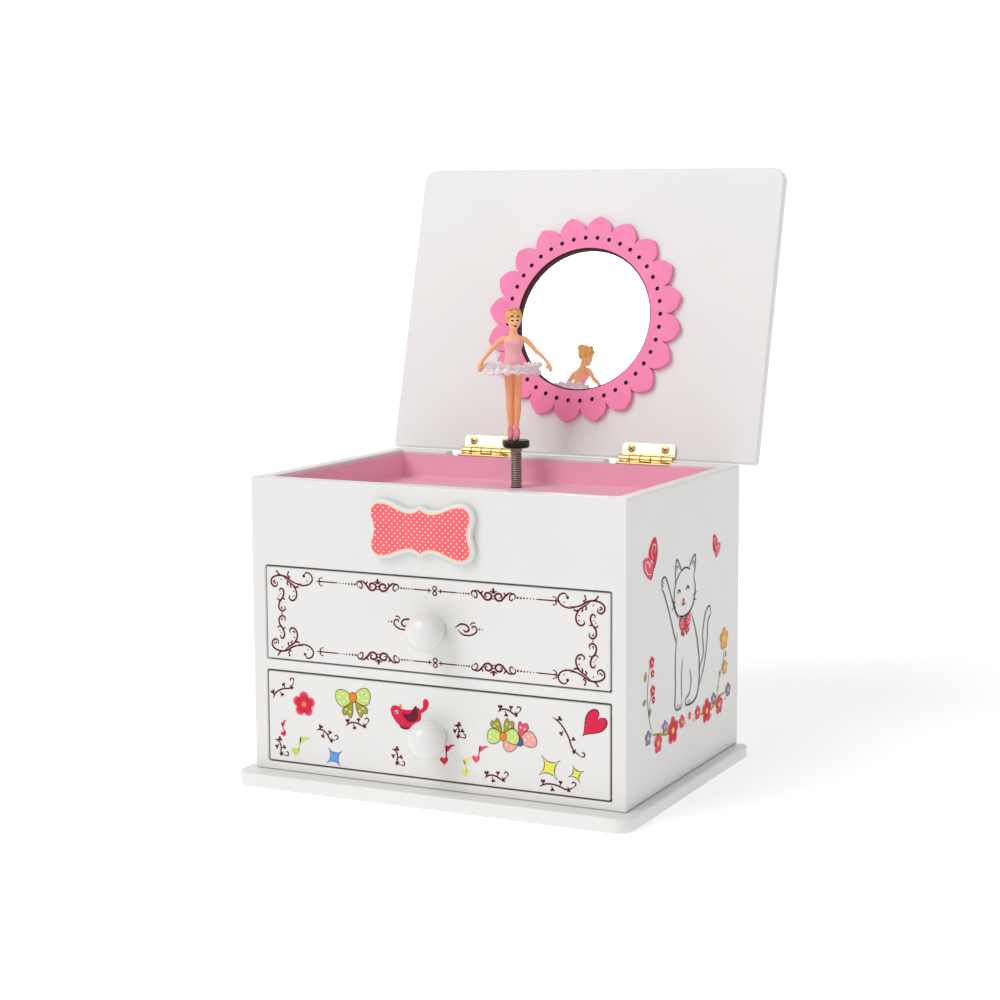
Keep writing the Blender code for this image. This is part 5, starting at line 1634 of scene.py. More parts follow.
class MUSICBOX_OT_dancer(bpy.types.Operator):
    """Builds the dancer: body, head, hair, bodice and shoes, with her painted face"""

    bl_idname = "musicbox.dancer"
    bl_label = "Dancer"

    def execute(self, context):
        body = body_mesh()
        head = head_mesh()
        pieces = (
            ("dancer_body", coated(body, "skin"), ("dancer",)),
            ("dancer_head", coated(head, "face"), ()),
            ("dancer_face_paint", pressed_on(face_marks(), head), ()),
            ("dancer_hair", coated(hair_mesh(), "hair"), ()),
            ("dancer_tiara", coated(tiara_mesh(), "comb"), ()),
            ("dancer_bodice", coated(bodice_mesh(body), "bodice"), ()),
            ("dancer_shoes", coated(shoe_mesh(), "shoe"), ()),
        )
        for name, mesh, replaced in pieces:
            place_piece(name, mesh, "figure", replaced, FIGURE_FRAME)
        return {"FINISHED"}


class MUSICBOX_OT_tutu(bpy.types.Operator):
    """Builds the gathered tutu"""

    bl_idname = "musicbox.tutu"
    bl_label = "Tutu"

    def execute(self, context):
        mesh = coated(tutu_mesh(), "tutu")
        mesh.transform(FIGURE_FRAME)
        tutu = place_piece("tutu_ruffle", mesh, "figure", ["tutu"])
        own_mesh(tutu)
        return {"FINISHED"}


# ---- Printed decoration ----
# A mark is (ink, layer, outline). Drawings are in millimetres, and each layer lies over the one before.
PER_METRE = 1000
PRINT_LIFT = 0.00003
LAYER_LIFT = 0.00002
NIB = 1.18  # how much wider than its given width a stroke is inked
STAR_HOLLOW = 0.56


def smooth_path(points, steps=6, closed=False):
    """A smooth curve through given points."""
    given = [Vector(point) for point in points]
    count = len(given)
    made = []
    for i in range(count if closed else count - 1):
        if closed:
            before, start, end, after = (given[(i + k) % count] for k in (-1, 0, 1, 2))
        else:
            before, start, end, after = (given[min(max(i + k, 0), count - 1)] for k in (-1, 0, 1, 2))
        for step in range(steps):
            t = step / steps
            pull = (end - before) * t + (2 * before - 5 * start + 4 * end - after) * t * t
            made.append(start + 0.5 * (pull + (3 * start - before - 3 * end + after) * t ** 3))
    if not closed:
        made.append(given[-1])
    return made


def pen(ink, points, width, layer=1, ends=(0.25, 0.25)):
    """A pen stroke along a smooth path, thinner at its ends."""
    path = smooth_path(points)
    last = len(path) - 1
    left, right = [], []
    for i, point in enumerate(path):
        run = (path[min(i + 1, last)] - path[max(i - 1, 0)]).normalized()
        side = Vector((-run.y, run.x))
        along = i / last
        first_taper = (1 - ends[0]) * (1 - min(along * 4, 1)) ** 2
        last_taper = (1 - ends[1]) * (1 - min((1 - along) * 4, 1)) ** 2
        swell = 1 - first_taper - last_taper
        left.append(point + side * width * swell * NIB / 2)
        right.append(point - side * width * swell * NIB / 2)
    return (ink, layer, left + right[::-1])


def shape(ink, points, layer=1):
    return (ink, layer, smooth_path(points, closed=True))


def sharp(ink, points):
    return (ink, 1, [Vector(point) for point in points])


def dot(ink, x, y, radius, layer=1):
    return (ink, layer, [Vector(point) for point in circle(radius, 14, x, y)])


def outlined(ink, line_ink, points, width, layer=1):
    """A filled shape with a pen line round it."""
    outline = smooth_path(points, 6, closed=True)
    grown = []
    for i, point in enumerate(outline):
        run = (outline[(i + 1) % len(outline)] - outline[i - 1]).normalized()
        side = Vector((run.y, -run.x)) * (1 if area_of(outline) > 0 else -1)
        grown.append(point + side * width / 2)
    return [(line_ink, layer, grown), (ink, layer + 1, outline)]


def area_of(outline):
    pairs = zip(outline, outline[1:] + outline[:1])
    return sum(a.x * b.y - b.x * a.y for a, b in pairs) / 2


def placed(marks, x=0.0, y=0.0, turn=0.0, scale=1.0, mirror_x=False, mirror_y=False):
    """Copies of the marks, mirrored, scaled, turned and then moved."""
    made = []
    sides = Vector((-1 if mirror_x else 1, -1 if mirror_y else 1))
    spin = Matrix.Rotation(radians(turn), 2)
    for ink, layer, outline in marks:
        made.append((ink, layer, [spin @ (point * sides * scale) + Vector((x, y)) for point in outline]))
    return made


def scrollwork(strokes, spots=()):
    """Maroon pen strokes and dots, given as what pen and dot take after their ink."""
    return [pen("maroon", *stroke) for stroke in strokes] + [dot("maroon", *spot) for spot in spots]


def print_mesh(marks):
    """Flat inked shapes a hair over the XY plane, in metres."""
    inks = sorted({mark[0] for mark in marks})
    mesh = bpy.data.meshes.new("print")
    bm = bmesh.new()
    for ink, layer, outline in marks:
        level = PRINT_LIFT + layer * LAYER_LIFT
        corners = [Vector((point.x / PER_METRE, point.y / PER_METRE, level)) for point in outline]
        made = [bm.verts.new(corner) for corner in corners]
        for triangle in tessellate_polygon([corners]):
            a, b, c = (made[i] for i in triangle)
            turned_up = (b.co - a.co).cross(c.co - a.co).z > 0
            face = bm.faces.new((a, b, c) if turned_up else (a, c, b))
            face.material_index = inks.index(ink)
    bm.to_mesh(mesh)
    bm.free()
    for ink in inks:
        mesh.materials.append(finish("ink " + ink))
    return mesh


def corner_scroll():
    """Scrollwork for the upper drawer's top left corner, measured from that corner."""
    curl = [(4.7, -5.6), (4.9, -6.9), (3.7, -7.7), (2.3, -6.7), (2.2, -5.0), (3.6, -3.7), (6.2, -3.1)]
    curl += [(8.9, -3.6), (11.2, -5.0), (13.8, -5.9), (16.4, -5.9)]
    top = [(13.6, -6.1), (16.4, -6.5), (19.2, -5.8), (20.8, -3.9), (20.1, -1.9), (18.2, -1.2), (16.8, -2.5)]
    branch = [(7.6, -3.4), (10.2, -5.4), (12.4, -7.0), (13.6, -9.4), (13.2, -11.7), (11.6, -12.7)]
    branch += [(10.2, -11.8), (10.6, -10.6)]
    side = [(6.0, -9.6), (6.0, -8.6), (7.1, -8.3), (7.8, -9.8), (7.2, -11.8), (5.7, -13.8), (5.5, -16.0)]
    side += [(6.9, -17.2), (8.3, -16.3), (7.9, -15.0)]
    strokes = (
        (curl, 0.62), (top, 0.55), (branch, 0.6), (side, 0.62),
        ([(4.2, -5.4), (3.3, -5.5), (3.2, -6.4)], 0.5),
        ([(11.6, -11.0), (12.1, -11.4), (12.6, -10.6)], 0.5),
        ([(6.8, -15.2), (6.6, -16.0), (7.3, -16.1)], 0.4),
        ([(5.0, -1.7), (5.6, -2.6), (6.6, -3.1)], 0.55),
        ([(10.0, -1.9), (9.6, -2.8), (10.6, -3.6), (9.4, -3.8)], 0.5),
        ([(9.6, -5.2), (9.4, -6.2), (10.0, -6.8)], 0.55),
        ([(11.0, -6.2), (10.9, -7.1), (11.5, -7.6)], 0.5),
        ([(12.4, -7.1), (13.8, -7.3), (14.6, -6.8)], 0.6),
        ([(4.6, -12.0), (5.3, -12.9), (6.2, -12.6)], 0.4),
        ([(7.2, -11.8), (7.7, -12.4), (8.4, -12.3)], 0.45),
    )
    spots = (
        (4.8, -1.5, 0.42), (10.0, -1.6, 0.42), (17.0, -2.7, 0.62), (18.4, -4.6, 0.3), (6.6, -4.7, 0.3),
        (12.4, -9.0, 0.32), (6.4, -10.4, 0.26), (5.6, -11.2, 0.26), (6.8, -18.3, 0.26), (3.9, -6.3, 0.4),
    )
    return scrollwork(strokes, spots)


def line_knot():
    """A knot of two scrolls under a small bud, centred on its own middle."""
    ink = "maroon"
    half = [(-8.3, -0.4), (-7.6, -1.3), (-6.8, -0.8), (-7.0, 0.6), (-8.4, 1.3), (-9.2, 0.3), (-8.6, -0.9)]
    sweep = [(-8.6, 1.0), (-6.8, 1.5), (-5.0, 0.2), (-3.4, -1.5), (-1.6, -1.6), (-0.7, -0.2), (-1.7, 0.9)]
    sweep += [(-3.2, 0.7), (-3.4, -0.4), (-2.5, -0.6)]
    one_side = scrollwork((
        (half, 0.5), (sweep, 0.7), ([(-5.6, 0.6), (-4.8, 0.9), (-4.4, 1.6)], 0.5),
        ([(-0.2, 0.8), (-0.8, 1.5), (-1.5, 1.7)], 0.45),
    ))
    middle = [
        sharp(ink, [(-0.9, 0.12), (0.9, 0.12), (0.9, -0.28), (-0.9, -0.28)]),
        sharp(ink, [(-0.7, -1.0), (0.7, -1.0), (0.7, -1.4), (-0.7, -1.4)]),
        shape(ink, [(0, 3.0), (0.55, 2.1), (0.2, 0.9), (-0.2, 0.9), (-0.55, 2.1)]),
    ]
    return one_side + placed(one_side, mirror_x=True) + middle


def line_half():
    """The thin line left of a knot: a barbed end, a rule that thins out, and a run of dots."""
    strokes = (
        ([(-27.4, 0), (-22.0, 0.02), (-17.4, 0)], 0.42, 1, (0.6, 0.2)),
        ([(-25.0, 1.5), (-26.0, 0.9), (-25.6, 0), (-26.0, -0.9), (-25.0, -1.6)], 0.42),
    )
    spots = [(-24.8, 1.5, 0.32), (-24.8, -1.6, 0.32)]
    spots += [(-16.6 + 1.3 * i, 0, 0.24 + 0.045 * i) for i in range(6)]
    return scrollwork(strokes, spots)


def line_ornament():
    """The whole ornament along one edge of the upper drawer, centred on the knob."""
    outer = placed(line_knot() + line_half(), x=-24.7)
    inner = [pen("maroon", [(-9.6, 0), (-6.0, 0.02), (-1.4, 0)], 0.4, ends=(0.4, 0.8))]
    inner += [dot("maroon", -14.4 + 1.1 * i, 0, 0.42 - 0.04 * i) for i in range(5)]
    inner.append(pen("maroon", [(-2.3, 0.8), (-2.6, 0), (-2.3, -0.8)], 0.4))
    half = outer + inner
    clasp = []
    for rise in (-0.95, 0.95):
        clasp += [dot("maroon", 0, rise, 1.05), dot("paper", 0, rise, 0.5, 2)]
    return half + placed(half, mirror_x=True) + clasp


def flourish():
    """A small flourish beside the upper knob, where a maker would letter a name."""
    strokes = (
        ([(0, 0), (2.4, 1.6), (5.0, 1.2), (5.8, -0.4), (4.4, -1.2), (3.4, -0.3)], 0.62),
        ([(1.0, -0.4), (3.0, -2.2), (6.4, -2.4), (9.0, -0.8), (8.6, 1.0), (7.2, 0.9), (7.3, 0.1)], 0.55),
        ([(6.4, 1.4), (7.2, 2.4), (8.6, 2.4)], 0.45),
    )
    return scrollwork(strokes, ((10.2, 0.2, 0.4), (11.4, 0.2, 0.28)))


def heart(ink, size, layer=1, slim=1.0):
    """A heart with its tip down, size across."""
    outline = []
    for t in around(36):
        x = 16 * sin(t) ** 3
        y = 13 * cos(t) - 5 * cos(2 * t) - 2 * cos(3 * t) - cos(4 * t)
        outline.append(Vector((x * slim, y)) * size / 32)
    return (ink, layer, outline[::-1])


def star(ink, line_ink, size):
    """A four-pointed star with hollow sides and a pen line round it."""
    marks = []
    for colour, reach, layer in ((line_ink, size / 2 + 0.9, 1), (ink, size / 2, 2)):
        points = []
        for t in around(48):
            away = reach / (abs(cos(t)) ** STAR_HOLLOW + abs(sin(t)) ** STAR_HOLLOW) ** (1 / STAR_HOLLOW)
            points.append(Vector((away * cos(t), away * sin(t))))
        marks.append((colour, layer, points))
    return marks


def music_note(ink):
    """A heart-headed note, 9 high, with its head at the origin."""
    return [
        heart(ink, 4.2),
        pen(ink, [(1.3, 1.0), (1.5, 3.6), (1.7, 6.6)], 0.6, ends=(0.8, 0.8)),
        shape(ink, [(1.5, 6.9), (2.8, 6.6), (4.6, 7.3), (6.4, 6.9), (4.6, 6.2), (3.0, 4.6), (1.6, 4.0)]),
    ]


def flower(petal, rim, heart_ink, radius, layer=1):
    """Five round petals, each with a rim, round a small heart."""
    marks = []
    for ink, reach, size, up in ((rim, 0.62, 0.42, 0), (petal, 0.48, 0.36, 1)):
        for i in range(5):
            a = 2 * pi * i / 5 + radians(90)
            spot = (radius * reach * cos(a), radius * reach * sin(a))
            marks.append(dot(ink, *spot, radius * size, layer + up))
    marks.append(dot(petal, 0, 0, radius * 0.5, layer + 2))
    marks.append(dot(heart_ink, 0, 0, radius * 0.22, layer + 3))
    return marks


def bow(loop_ink, tail_ink, knot_ink, line="brown", layer=1):
    """A spotted bow 15 wide, with its knot at the origin."""
    loop = [(-0.8, 0.6), (-3.6, 2.8), (-6.6, 2.9), (-7.7, 0.4), (-6.6, -2.6), (-4.4, -3.4), (-1.2, -1.6)]
    tail = [(-0.9, -1.6), (-2.8, -3.2), (-5.4, -4.6), (-5.2, -6.6), (-3.4, -6.6), (-2.4, -8.0), (-1.0, -5.6)]
    half = outlined(tail_ink, line, tail, 0.5, layer) + outlined(loop_ink, line, loop, 0.5, layer + 2)
    spots = ((-6.2, 0.4), (-4.2, 1.6), (-4.4, -1.6), (-2.6, -0.2), (-6.0, -1.6), (-3.8, -4.6), (-2.2, -5.6))
    half += [dot("paper", x, y, 0.42, layer + 4) for x, y in spots]
    knot = [(-1.3, 0.9), (0, 1.7), (1.3, 0.9), (1.4, -0.9), (0, -1.9), (-1.4, -0.9)]
    return half + placed(half, mirror_x=True) + outlined(knot_ink, line, knot, 0.5, layer + 5)


def little_bird():
    """A plump bird 16 long that looks left, with its middle at the origin."""
    body = [(-7.6, 0.6), (-7.2, 3.0), (-5.0, 3.6), (-2.6, 2.2), (1.2, 2.0), (4.6, 2.8), (5.4, 1.0)]
    body += [(5.2, -1.6), (2.2, -4.0), (-1.6, -5.0), (-5.4, -3.2)]
    wing = [(-2.6, 0.6), (0.4, 0.4), (3.4, 3.6), (4.2, 0.4), (3.0, -2.2), (0.4, -2.8), (-1.6, -1.4)]
    tail = [(4.4, 1.6), (6.4, 3.0), (6.8, 5.6), (8.2, 6.4), (9.2, 4.6), (8.0, 2.2), (5.6, 0.8)]
    belly = [(-4.4, -3.6), (-1.8, -4.0), (1.4, -3.9), (-0.6, -5.6), (-3.4, -5.4)]
    return [
        shape("maroon", belly), shape("rose", tail), shape("rose", body, 2), shape("maroon", wing, 3),
        dot("paper", -5.2, 1.0, 0.75, 3), dot("maroon", -5.3, 0.9, 0.45, 4),
        shape("orange", [(-4.0, 3.0), (-3.2, 4.2), (-2.6, 2.6)], 3),
    ]


def sprig(length):
    """A curling stem with hearts for leaves, where a word might stand."""
    ink = "maroon"
    stem = [(0, 0), (length * 0.22, 1.2), (length * 0.5, 0.9), (length * 0.78, -0.5), (length, 0.6)]
    curl = [(length, 0.6), (length + 0.7, 1.8), (length - 0.3, 2.5), (length - 1.0, 1.7)]
    marks = [pen(ink, stem, 0.55), pen(ink, curl, 0.45)]
    for share, side, size in ((0.12, 1, 2.0), (0.38, -1, 1.7), (0.62, 1, 1.7), (0.84, -1, 1.4)):
        along = length * share
        marks += placed([heart(ink, size)], along, 0.6 + side * 1.5, 0 if side > 0 else 180)
        marks.append(pen(ink, [(along - 0.4, 0.6), (along, 0.6 + side * 1.1)], 0.35))
    return marks


def upper_drawer_print(front_x, front_z, knob_x):
    """Corner scrolls and two long ornaments, inside the drawer front's own edges."""
    marks = []
    for mirror_x in (False, True):
        for mirror_y in (False, True):
            x = front_x[1] if mirror_x else front_x[0]
            z = front_z[0] if mirror_y else front_z[1]
            marks += placed(corner_scroll(), x, z, mirror_x=mirror_x, mirror_y=mirror_y)
    middle = (front_z[0] + front_z[1]) / 2
    reach = (front_z[1] - front_z[0]) / 2 - 4.3
    marks += placed(line_ornament(), knob_x, middle + reach)
    marks += placed(line_ornament(), knob_x, middle - reach, mirror_y=True)
    marks += placed(flourish(), knob_x + 8.6, middle + 0.4)
    marks += placed(flourish(), knob_x - 8.6, middle + 0.4, mirror_x=True)
    return marks


def lower_drawer_print():
    """Small bright pictures scattered over the lower drawer front, with sprigs between them."""
    pictures = (  # marks, then across, up, turn and scale
        (flower("rose", "coral", "orange", 4.9), -57.2, 33.3),
        (bow("lime", "olive", "orange"), -35.0, 38.2, 8),
        (little_bird(), -10.6, 33.6, 4),
        (bow("blush", "coral", "blue"), 36.6, 28.0, 196, 0.92),
        (bow("lime", "olive", "orange", layer=9), 29.8, 29.3, 184, 0.86),
        ([heart("maroon", 13.6, 1, 0.66), heart("rose", 12.6, 2, 0.64)], 66.9, 37.9, -42),
        (star("yellow", "grey", 9.6), 48.9, 19.4, 36),
        (star("yellow", "grey", 5.8), 59.8, 18.2, 24),
        (star("sky", "blue", 7.6), -43.8, 13.6, 38),
        (music_note("rose"), -66.8, 20.6, 28, 0.62),
        (music_note("lime"), -61.4, 14.0, -8, 0.95),
        (music_note("rose"), 4.6, 17.4, 6, 0.85),
        (music_note("yellow"), 13.6, 13.6, 22, 0.72),
        (music_note("coral"), 18.2, 19.4, -4, 0.8),
    )
    sprigs = (  # length, then across, up and turn
        (12.0, -71.4, 34.4, 34), (10.0, -38.4, 26.4, 10), (9.0, -51.6, 23.6, -24),
        (7.5, -70.8, 18.0, -58), (7.0, -18.0, 19.6, -62), (9.0, 27.6, 38.4, 3),
        (18.0, 50.2, 38.8, -52), (9.5, 21.8, 12.4, 6), (14.5, 44.6, 11.8, 3), (5.5, 9.0, 31.6, -60),
    )
    marks = []
    for picture in pictures:
        marks += placed(*picture)
    for length, x, y, turn in sprigs:
        marks += placed(sprig(length), x, y, turn)
    return marks


def butterfly():
    """A butterfly with open wings, 15 high, with its tail at the origin."""
    near = [(0.4, 0.2), (-3.0, 1.2), (-6.6, 5.0), (-7.0, 8.6), (-4.2, 9.4), (-0.6, 8.4), (2.2, 6.8)]
    far = [(-0.6, 7.4), (-1.6, 10.6), (0.4, 13.0), (3.2, 15.0), (6.0, 14.6), (7.2, 11.0), (6.6, 7.0)]
    swirl = [(0.6, 2.0), (-2.8, 2.8), (-5.0, 5.8), (-3.8, 7.6), (-1.6, 6.6), (-1.2, 4.8), (0.6, 7.0)]
    return [
        shape("rose", far + [(3.2, 3.4)]), shape("coral", near + [(2.6, 3.4)], 2),
        pen("paper", swirl + [(2.2, 6.0)], 0.4, 3),
        pen("paper", [(2.4, 7.0), (1.4, 10.0), (3.4, 12.6), (5.4, 11.6), (4.4, 9.2)], 0.38, 3),
        pen("maroon", [(-0.4, -0.4), (2.4, 3.4), (4.4, 6.6)], 0.6, 3),
    ]


def kitten(layer):
    """A sitting kitten with one paw up, as a pen drawing 62 high; its seat is at the origin."""
    ink = "black"
    lines = [
        ([(-7.6, 38.5), (-10.4, 42.0), (-11.0, 47.0), (-8.8, 52.0), (-4.4, 55.0)], 0.5),
        ([(-9.6, 50.6), (-9.8, 57.0), (-8.4, 60.4), (-5.4, 57.8), (-3.6, 55.3)], 0.5),
        ([(-4.4, 55.0), (0.6, 56.0), (5.4, 54.6)], 0.5),
        ([(4.4, 55.0), (8.0, 58.4), (11.0, 59.6), (11.2, 55.4), (9.4, 51.0)], 0.5),
        (
            [(9.4, 51.2), (11.2, 46.6), (10.0, 41.4), (6.2, 38.0), (0.4, 36.8), (-5.0, 37.4), (-7.8, 38.8)],
            0.6,
        ),
        ([(-8.4, 55.6), (-8.0, 58.0), (-6.2, 56.4)], 0.3),
        ([(7.6, 55.8), (9.8, 57.4), (9.6, 54.6)], 0.3),
        ([(-7.4, 46.6), (-6.0, 48.0), (-4.4, 46.8)], 0.6),
        ([(1.4, 46.8), (3.2, 48.2), (5.0, 46.8)], 0.6),
        ([(-3.0, 42.4), (-2.0, 41.4), (-1.4, 42.8), (-0.4, 41.4), (0.9, 42.2)], 0.4),
        ([(-9.4, 43.6), (-14.0, 44.8)], 0.25), ([(-9.2, 42.2), (-13.8, 41.4)], 0.25),
        ([(8.6, 43.6), (13.2, 44.6)], 0.25), ([(8.6, 42.2), (13.0, 41.2)], 0.25),
        ([(-6.6, 36.6), (-10.6, 41.4), (-17.0, 51.6), (-20.4, 55.4), (-23.4, 54.4), (-23.6, 51.0)], 0.5),
        ([(-23.6, 51.2), (-21.0, 48.6), (-15.2, 39.4), (-10.8, 31.0), (-8.2, 27.4)], 0.5),
        ([(-22.6, 54.2), (-21.6, 52.6)], 0.3), ([(-23.4, 52.8), (-22.0, 51.6)], 0.3),
        ([(-7.6, 31.4), (-9.4, 22.0), (-9.2, 10.0), (-9.6, 3.0), (-8.0, 0.6), (-3.4, 0.6), (-2.4, 3.2)], 0.5),
        ([(-2.4, 3.0), (-3.0, 12.0), (-2.0, 20.0)], 0.4),
        ([(7.0, 36.8), (12.4, 28.0), (16.0, 16.0), (15.4, 5.0), (11.0, 0.6), (2.4, 0.4), (1.6, 3.2)], 0.6),
        ([(1.6, 3.0), (5.4, 4.6), (7.4, 9.4), (5.8, 14.6)], 0.45),
        ([(15.6, 12.0), (20.6, 18.0), (19.6, 26.0), (22.6, 34.0), (27.2, 36.4), (28.6, 32.6)], 0.5),
        ([(28.6, 32.8), (25.4, 30.0), (24.4, 22.0), (21.0, 12.0), (15.4, 5.4)], 0.5),
        ([(-7.0, 1.0), (-7.0, 2.6)], 0.3), ([(-5.2, 0.8), (-5.2, 2.4)], 0.3),
        ([(4.2, 0.8), (4.2, 2.2)], 0.3), ([(6.0, 0.8), (6.0, 2.2)], 0.3),
    ]
    marks = [pen(ink, points, width, layer, ends=(0.35, 0.35)) for points, width in lines]
    marks.append(shape("coral", [(-2.2, 43.4), (-1.2, 44.2), (-0.2, 43.4), (-1.2, 42.4)], layer + 1))
    marks += placed(bow("coral", "rose", "rose", line="maroon", layer=layer + 1), 0.4, 34.6, 4, 0.72)
    return marks


def vine():
    """A flowering vine that runs from the front edge along the bottom and up again at the back."""
    marks = [
        pen("grey", [(-36.4, 56.4), (-38.6, 47.0), (-37.4, 38.0), (-33.8, 30.2)], 0.4),
        pen("grey", [(-33.4, 46.4), (-36.6, 42.0), (-37.2, 36.4)], 0.3),
        pen("grey", [(41.6, 50.0), (40.2, 43.0), (35.4, 36.0), (33.4, 29.0)], 0.35),
        pen("olive", [(-34.4, 29.8), (-26.6, 28.2), (-18.0, 26.6), (-11.6, 29.2), (-5.6, 28.4)], 0.9),
        pen("olive", [(13.6, 27.4), (20.4, 26.2), (28.0, 26.6), (36.0, 29.6), (44.4, 30.2)], 0.9),
    ]
    for x, z, turn, size in ((-40.6, 53.0, 75, 1.0), (-41.4, 43.4, 20, 0.9), (-36.0, 38.6, 60, 0.9),
                             (43.4, 46.0, 70, 0.7), (36.6, 39.0, 100, 0.7), (34.6, 33.6, 60, 0.5)):
        leaf = [(-1.9, 0), (-0.4, 1.0), (1.9, 0), (-0.4, -1.0)]
        marks += placed(outlined("olive", "brown", leaf, 0.3, 2), x, z, turn, size)
    flowers = (  # across, up, radius, petals and their rims
        (-34.6, 57.4, 2.4, "rose", "coral"), (-33.8, 53.0, 1.7, "rose", "coral"),
        (-33.6, 46.4, 2.3, "rose", "coral"), (-32.8, 42.8, 1.6, "rose", "coral"),
        (-13.4, 26.8, 5.4, "rose", "coral"), (-28.0, 25.0, 3.8, "coral", "rose"),
        (-37.8, 29.2, 2.9, "violet", "grey"), (-21.4, 30.0, 2.5, "violet", "grey"),
        (-4.2, 28.2, 2.7, "coral", "rose"), (4.0, 28.8, 1.7, "coral", "blush"),
        (12.4, 28.2, 2.9, "coral", "rose"), (22.4, 26.8, 5.0, "rose", "coral"),
        (36.2, 26.4, 3.9, "coral", "rose"), (29.8, 30.2, 2.5, "violet", "grey"),
        (46.2, 30.6, 2.9, "violet", "grey"), (41.2, 52.6, 4.6, "amber", "orange"),
        (42.2, 40.6, 3.0, "amber", "orange"),
    )
    for x, z, size, petal, rim in flowers:
        marks += placed(flower(petal, rim, "yellow", size, layer=4), x, z)
    buds = ((-24.6, 30.6), (-0.4, 26.8), (8.4, 26.2), (33.2, 30.2), (-30.6, 28.0), (27.0, 23.8), (43.0, 27.4))
    return marks + [dot("blush", x, z, 0.7, 4) for x, z in buds]


def side_print():
    """The picture on each side: butterflies over a kitten, inside the vine."""
    marks = vine()
    marks += placed(butterfly(), -35.4, 88.8, 6)
    marks += placed(butterfly(), 31.6, 87.4, -4, 0.62, mirror_x=True)
    marks += placed(kitten(8), -2.0, 33.4, 0, 0.98)
    return marks


class MUSICBOX_OT_prints(bpy.types.Operator):
    """Prints the small pictures and scrollwork on the drawer fronts and on the two sides"""

    bl_idname = "musicbox.prints"
    bl_label = "Prints"

    def execute(self, context):
        front_x = [PER_METRE * edge for edge in span("upper_drawer_front", 0)]
        front_z = [PER_METRE * edge for edge in span("upper_drawer_front", 2)]
        knob_x = PER_METRE * sum(span("upper_drawer_knob", 0)) / 2
        on_front = Matrix.Translation((0, CASE_LOW.y, 0)) @ ALONG_FRONT
        mesh = print_mesh(upper_drawer_print(front_x, front_z, knob_x))
        place_piece("upper_drawer_print", mesh, "upper_drawer", (), on_front)
        mesh = print_mesh(lower_drawer_print())
        place_piece("lower_drawer_print", mesh, "lower_drawer", (), on_front)
        for side, sign in (("left", -1), ("right", 1)):
            columns = ((0, sign, 0), (0, 0, 1), (sign, 0, 0))
            turn = Matrix(columns).transposed().to_4x4()
            edge = CASE_LOW.x if sign < 0 else CASE_HIGH.x
            spot = Matrix.Translation((edge, 0, 0)) @ turn
            place_piece(f"{side}_side_print", print_mesh(side_print()), "root", (), spot)
        return {"FINISHED"}


# ---- Key and movement ----
LOBE = 0.0062
EYE = 0.0017
WING = 0.0011


class MUSICBOX_OT_movement(bpy.types.Operator):
    """Builds the winding key with its rounded lobes and finishes the clockwork inside"""

    bl_idname = "musicbox.movement"
    bl_label = "Key and movement"

    def execute(self, context):
        low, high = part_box("winding_key")
        middle_z = (low.z + high.z) / 2
        shift = (high.x - low.x) / 2 - LOBE
        outline = []
        for turn in around(96):
            side = 1 if cos(turn) >= 0 else -1
            outline.append((side * shift + LOBE * cos(turn), LOBE * sin(turn)))
        eyes = [circle(EYE, 24, side * shift * 1.15) for side in (-1, 1)]
        wings = slab([outline] + eyes, -WING, WING, 0.0005, 3)
        top = high.y - LOBE
        moved(wings, Matrix.Translation((ARBOR.x, top, middle_z)))
        reach = top - LOBE * 0.5 - low.y
        profile = [(0, 0), (0.0018, 0), (0.0034, 0), (0.0036, 0.0005), (0.0036, 0.0012), (0.0031, 0.0018)]
        profile += [(0.0031, reach - 0.0012), (0.0024, reach), (0, reach + 0.0008)]
        spot = Matrix.Translation((ARBOR.x, low.y, middle_z)) @ ALONG_BACK
        key = soften(coated(joined([wings, moved(turned(profile, 40), spot)]), "brass"))
        place_piece("butterfly_key", key, "winding", ["winding_key"])
        refinish("plated", "bedplate", "spring_housing")
        refinish("steel", "mainspring", "comb", "comb_screw", "governor_fan")
        refinish("brass", "upper_bearing_plate", "cylinder", "drive_wheel")
        return {"FINISHED"}


# ---- Stage ----
BACKDROP = 1.05  # brightness of the surroundings as seen directly or in a mirror
TARGET = Vector((0.0, 0.0, 0.11))
WINDOW = Vector((-0.7, -1.2, 0.9))
WINDOW_SIZE = 0.7
WINDOW_POWER = 1.6
TO_SUN = Vector((-0.32, -0.60, 0.73))
SUN_WIDTH = radians(35)
CAMERA_SPOT = (0.3812, -0.7561, 0.2231)
CAMERA_TURN = (radians(82.75), 0.0, radians(24.46))
CAMERA_SHIFT = (-0.0857, -0.0139)


def new_light(name, kind, energy):
    data = bpy.data.lights.new(name, kind)
    data.energy = energy
    return in_scene(name, data)


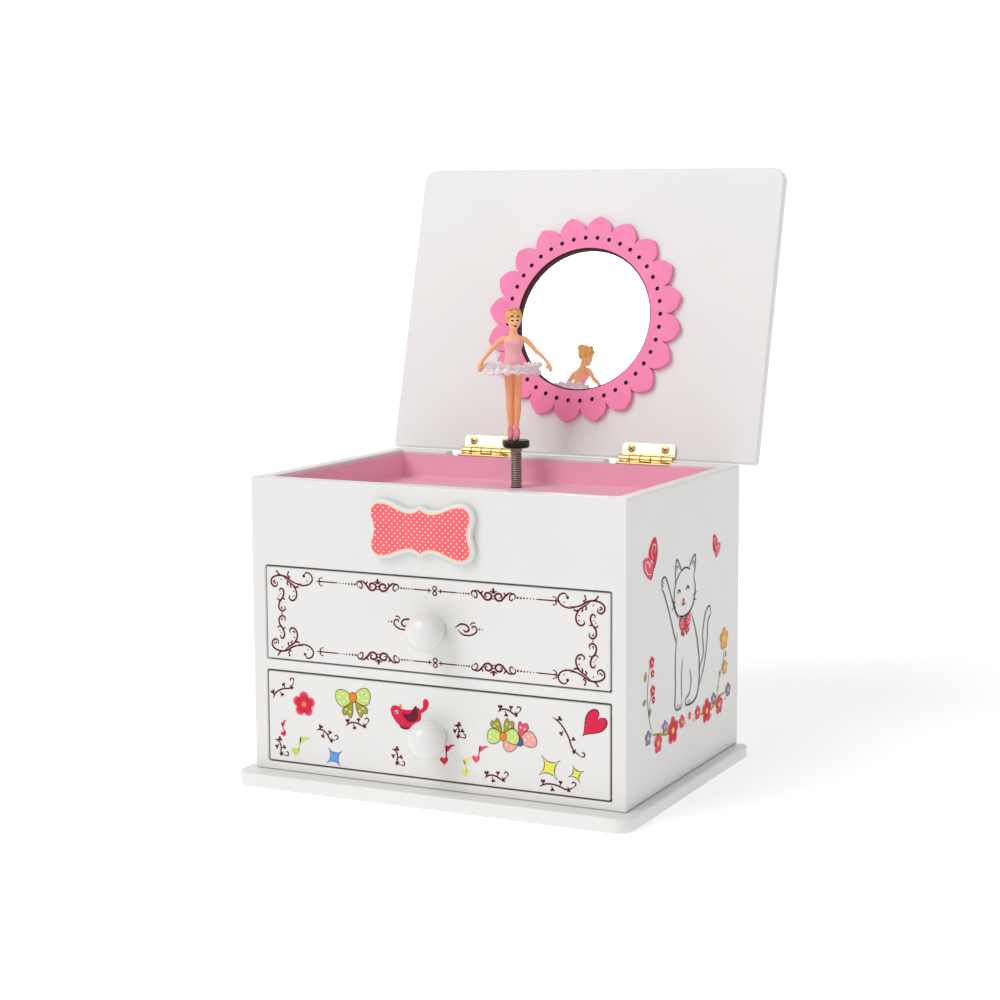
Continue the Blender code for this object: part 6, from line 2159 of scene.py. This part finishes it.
class MUSICBOX_OT_stage(bpy.types.Operator):
    """Sets the pale floor, the soft lights and the camera"""

    bl_idname = "musicbox.stage"
    bl_label = "Stage"

    def execute(self, context):
        sizes = setting("stage")
        floor = in_scene("floor", block((-4, 4), (-4, 4), (-0.02, -0.0002)))
        coat = mottled(
            "pale floor", sizes.floor, darker(sizes.floor, 0.985), amount=0.3, cloud=3.0, roughness=0.7,
            spread=0.05, skin=60.0, relief=0.0, Emission_Color=WHITE, Emission_Strength=sizes.glow,
        )
        floor.data.materials.append(coat)

        world = bpy.data.worlds.new("studio")
        world.use_nodes = True
        tree = world.node_tree
        sky = tree.nodes["Background"]
        sky.inputs["Color"].default_value = WHITE
        path = tree.nodes.new("ShaderNodeLightPath")
        seen = maths(tree, "MAXIMUM", path.outputs["Is Camera Ray"], path.outputs["Is Glossy Ray"])
        strength = maths(tree, "MULTIPLY_ADD", seen, BACKDROP - sizes.ambient, sizes.ambient)
        tree.links.new(strength, sky.inputs["Strength"])
        context.scene.world = world
        context.scene.view_settings.view_transform = "Standard"

        window = new_light("window_light", "AREA", WINDOW_POWER)
        window.data.shape = "DISK"
        window.data.size = WINDOW_SIZE
        window.location = WINDOW
        window.rotation_euler = (TARGET - WINDOW).to_track_quat("-Z", "Y").to_euler()
        sun = new_light("sun_light", "SUN", sizes.sun)
        sun.data.angle = SUN_WIDTH
        sun.rotation_euler = TO_SUN.to_track_quat("Z", "Y").to_euler()

        camera = bpy.data.cameras.new("camera")
        camera.lens = sizes.lens
        camera.sensor_width = 36.0
        camera.shift_x, camera.shift_y = CAMERA_SHIFT
        viewer = in_scene("camera", camera)
        viewer.location = CAMERA_SPOT
        viewer.rotation_euler = CAMERA_TURN
        context.scene.camera = viewer
        return {"FINISHED"}


class MUSICBOX_PT_panel(bpy.types.Panel):
    """Sidebar panel with the pieces and their settings"""

    bl_idname = "MUSICBOX_PT_panel"
    bl_label = "Music Box"
    bl_space_type = "VIEW_3D"
    bl_region_type = "UI"
    bl_category = "Music Box"

    def draw(self, context):
        for operator in OPERATORS:
            self.layout.operator(operator.bl_idname)
        for group, kind in SETTINGS:
            box = self.layout.box()
            box.label(text=group.capitalize())
            for name in kind.__annotations__:
                box.prop(setting(group), name)


OPERATORS = (
    MUSICBOX_OT_case,
    MUSICBOX_OT_base,
    MUSICBOX_OT_lid,
    MUSICBOX_OT_mirror,
    MUSICBOX_OT_plaque,
    MUSICBOX_OT_drawers,
    MUSICBOX_OT_tray,
    MUSICBOX_OT_hinges,
    MUSICBOX_OT_spring,
    MUSICBOX_OT_dancer,
    MUSICBOX_OT_tutu,
    MUSICBOX_OT_movement,
    MUSICBOX_OT_prints,
    MUSICBOX_OT_stage,
)


def register():
    for group, kind in SETTINGS:
        bpy.utils.register_class(kind)
        setattr(bpy.types.Scene, "music_box_" + group, bpy.props.PointerProperty(type=kind))
    for operator in OPERATORS:
        bpy.utils.register_class(operator)
    bpy.utils.register_class(MUSICBOX_PT_panel)


def unregister():
    bpy.utils.unregister_class(MUSICBOX_PT_panel)
    for operator in reversed(OPERATORS):
        bpy.utils.unregister_class(operator)
    for group, kind in reversed(SETTINGS):
        delattr(bpy.types.Scene, "music_box_" + group)
        bpy.utils.unregister_class(kind)


def main():
    register()
    for operator in OPERATORS:
        area, name = operator.bl_idname.split(".")
        getattr(getattr(bpy.ops, area), name)()


if __name__ == "__main__":
    main()
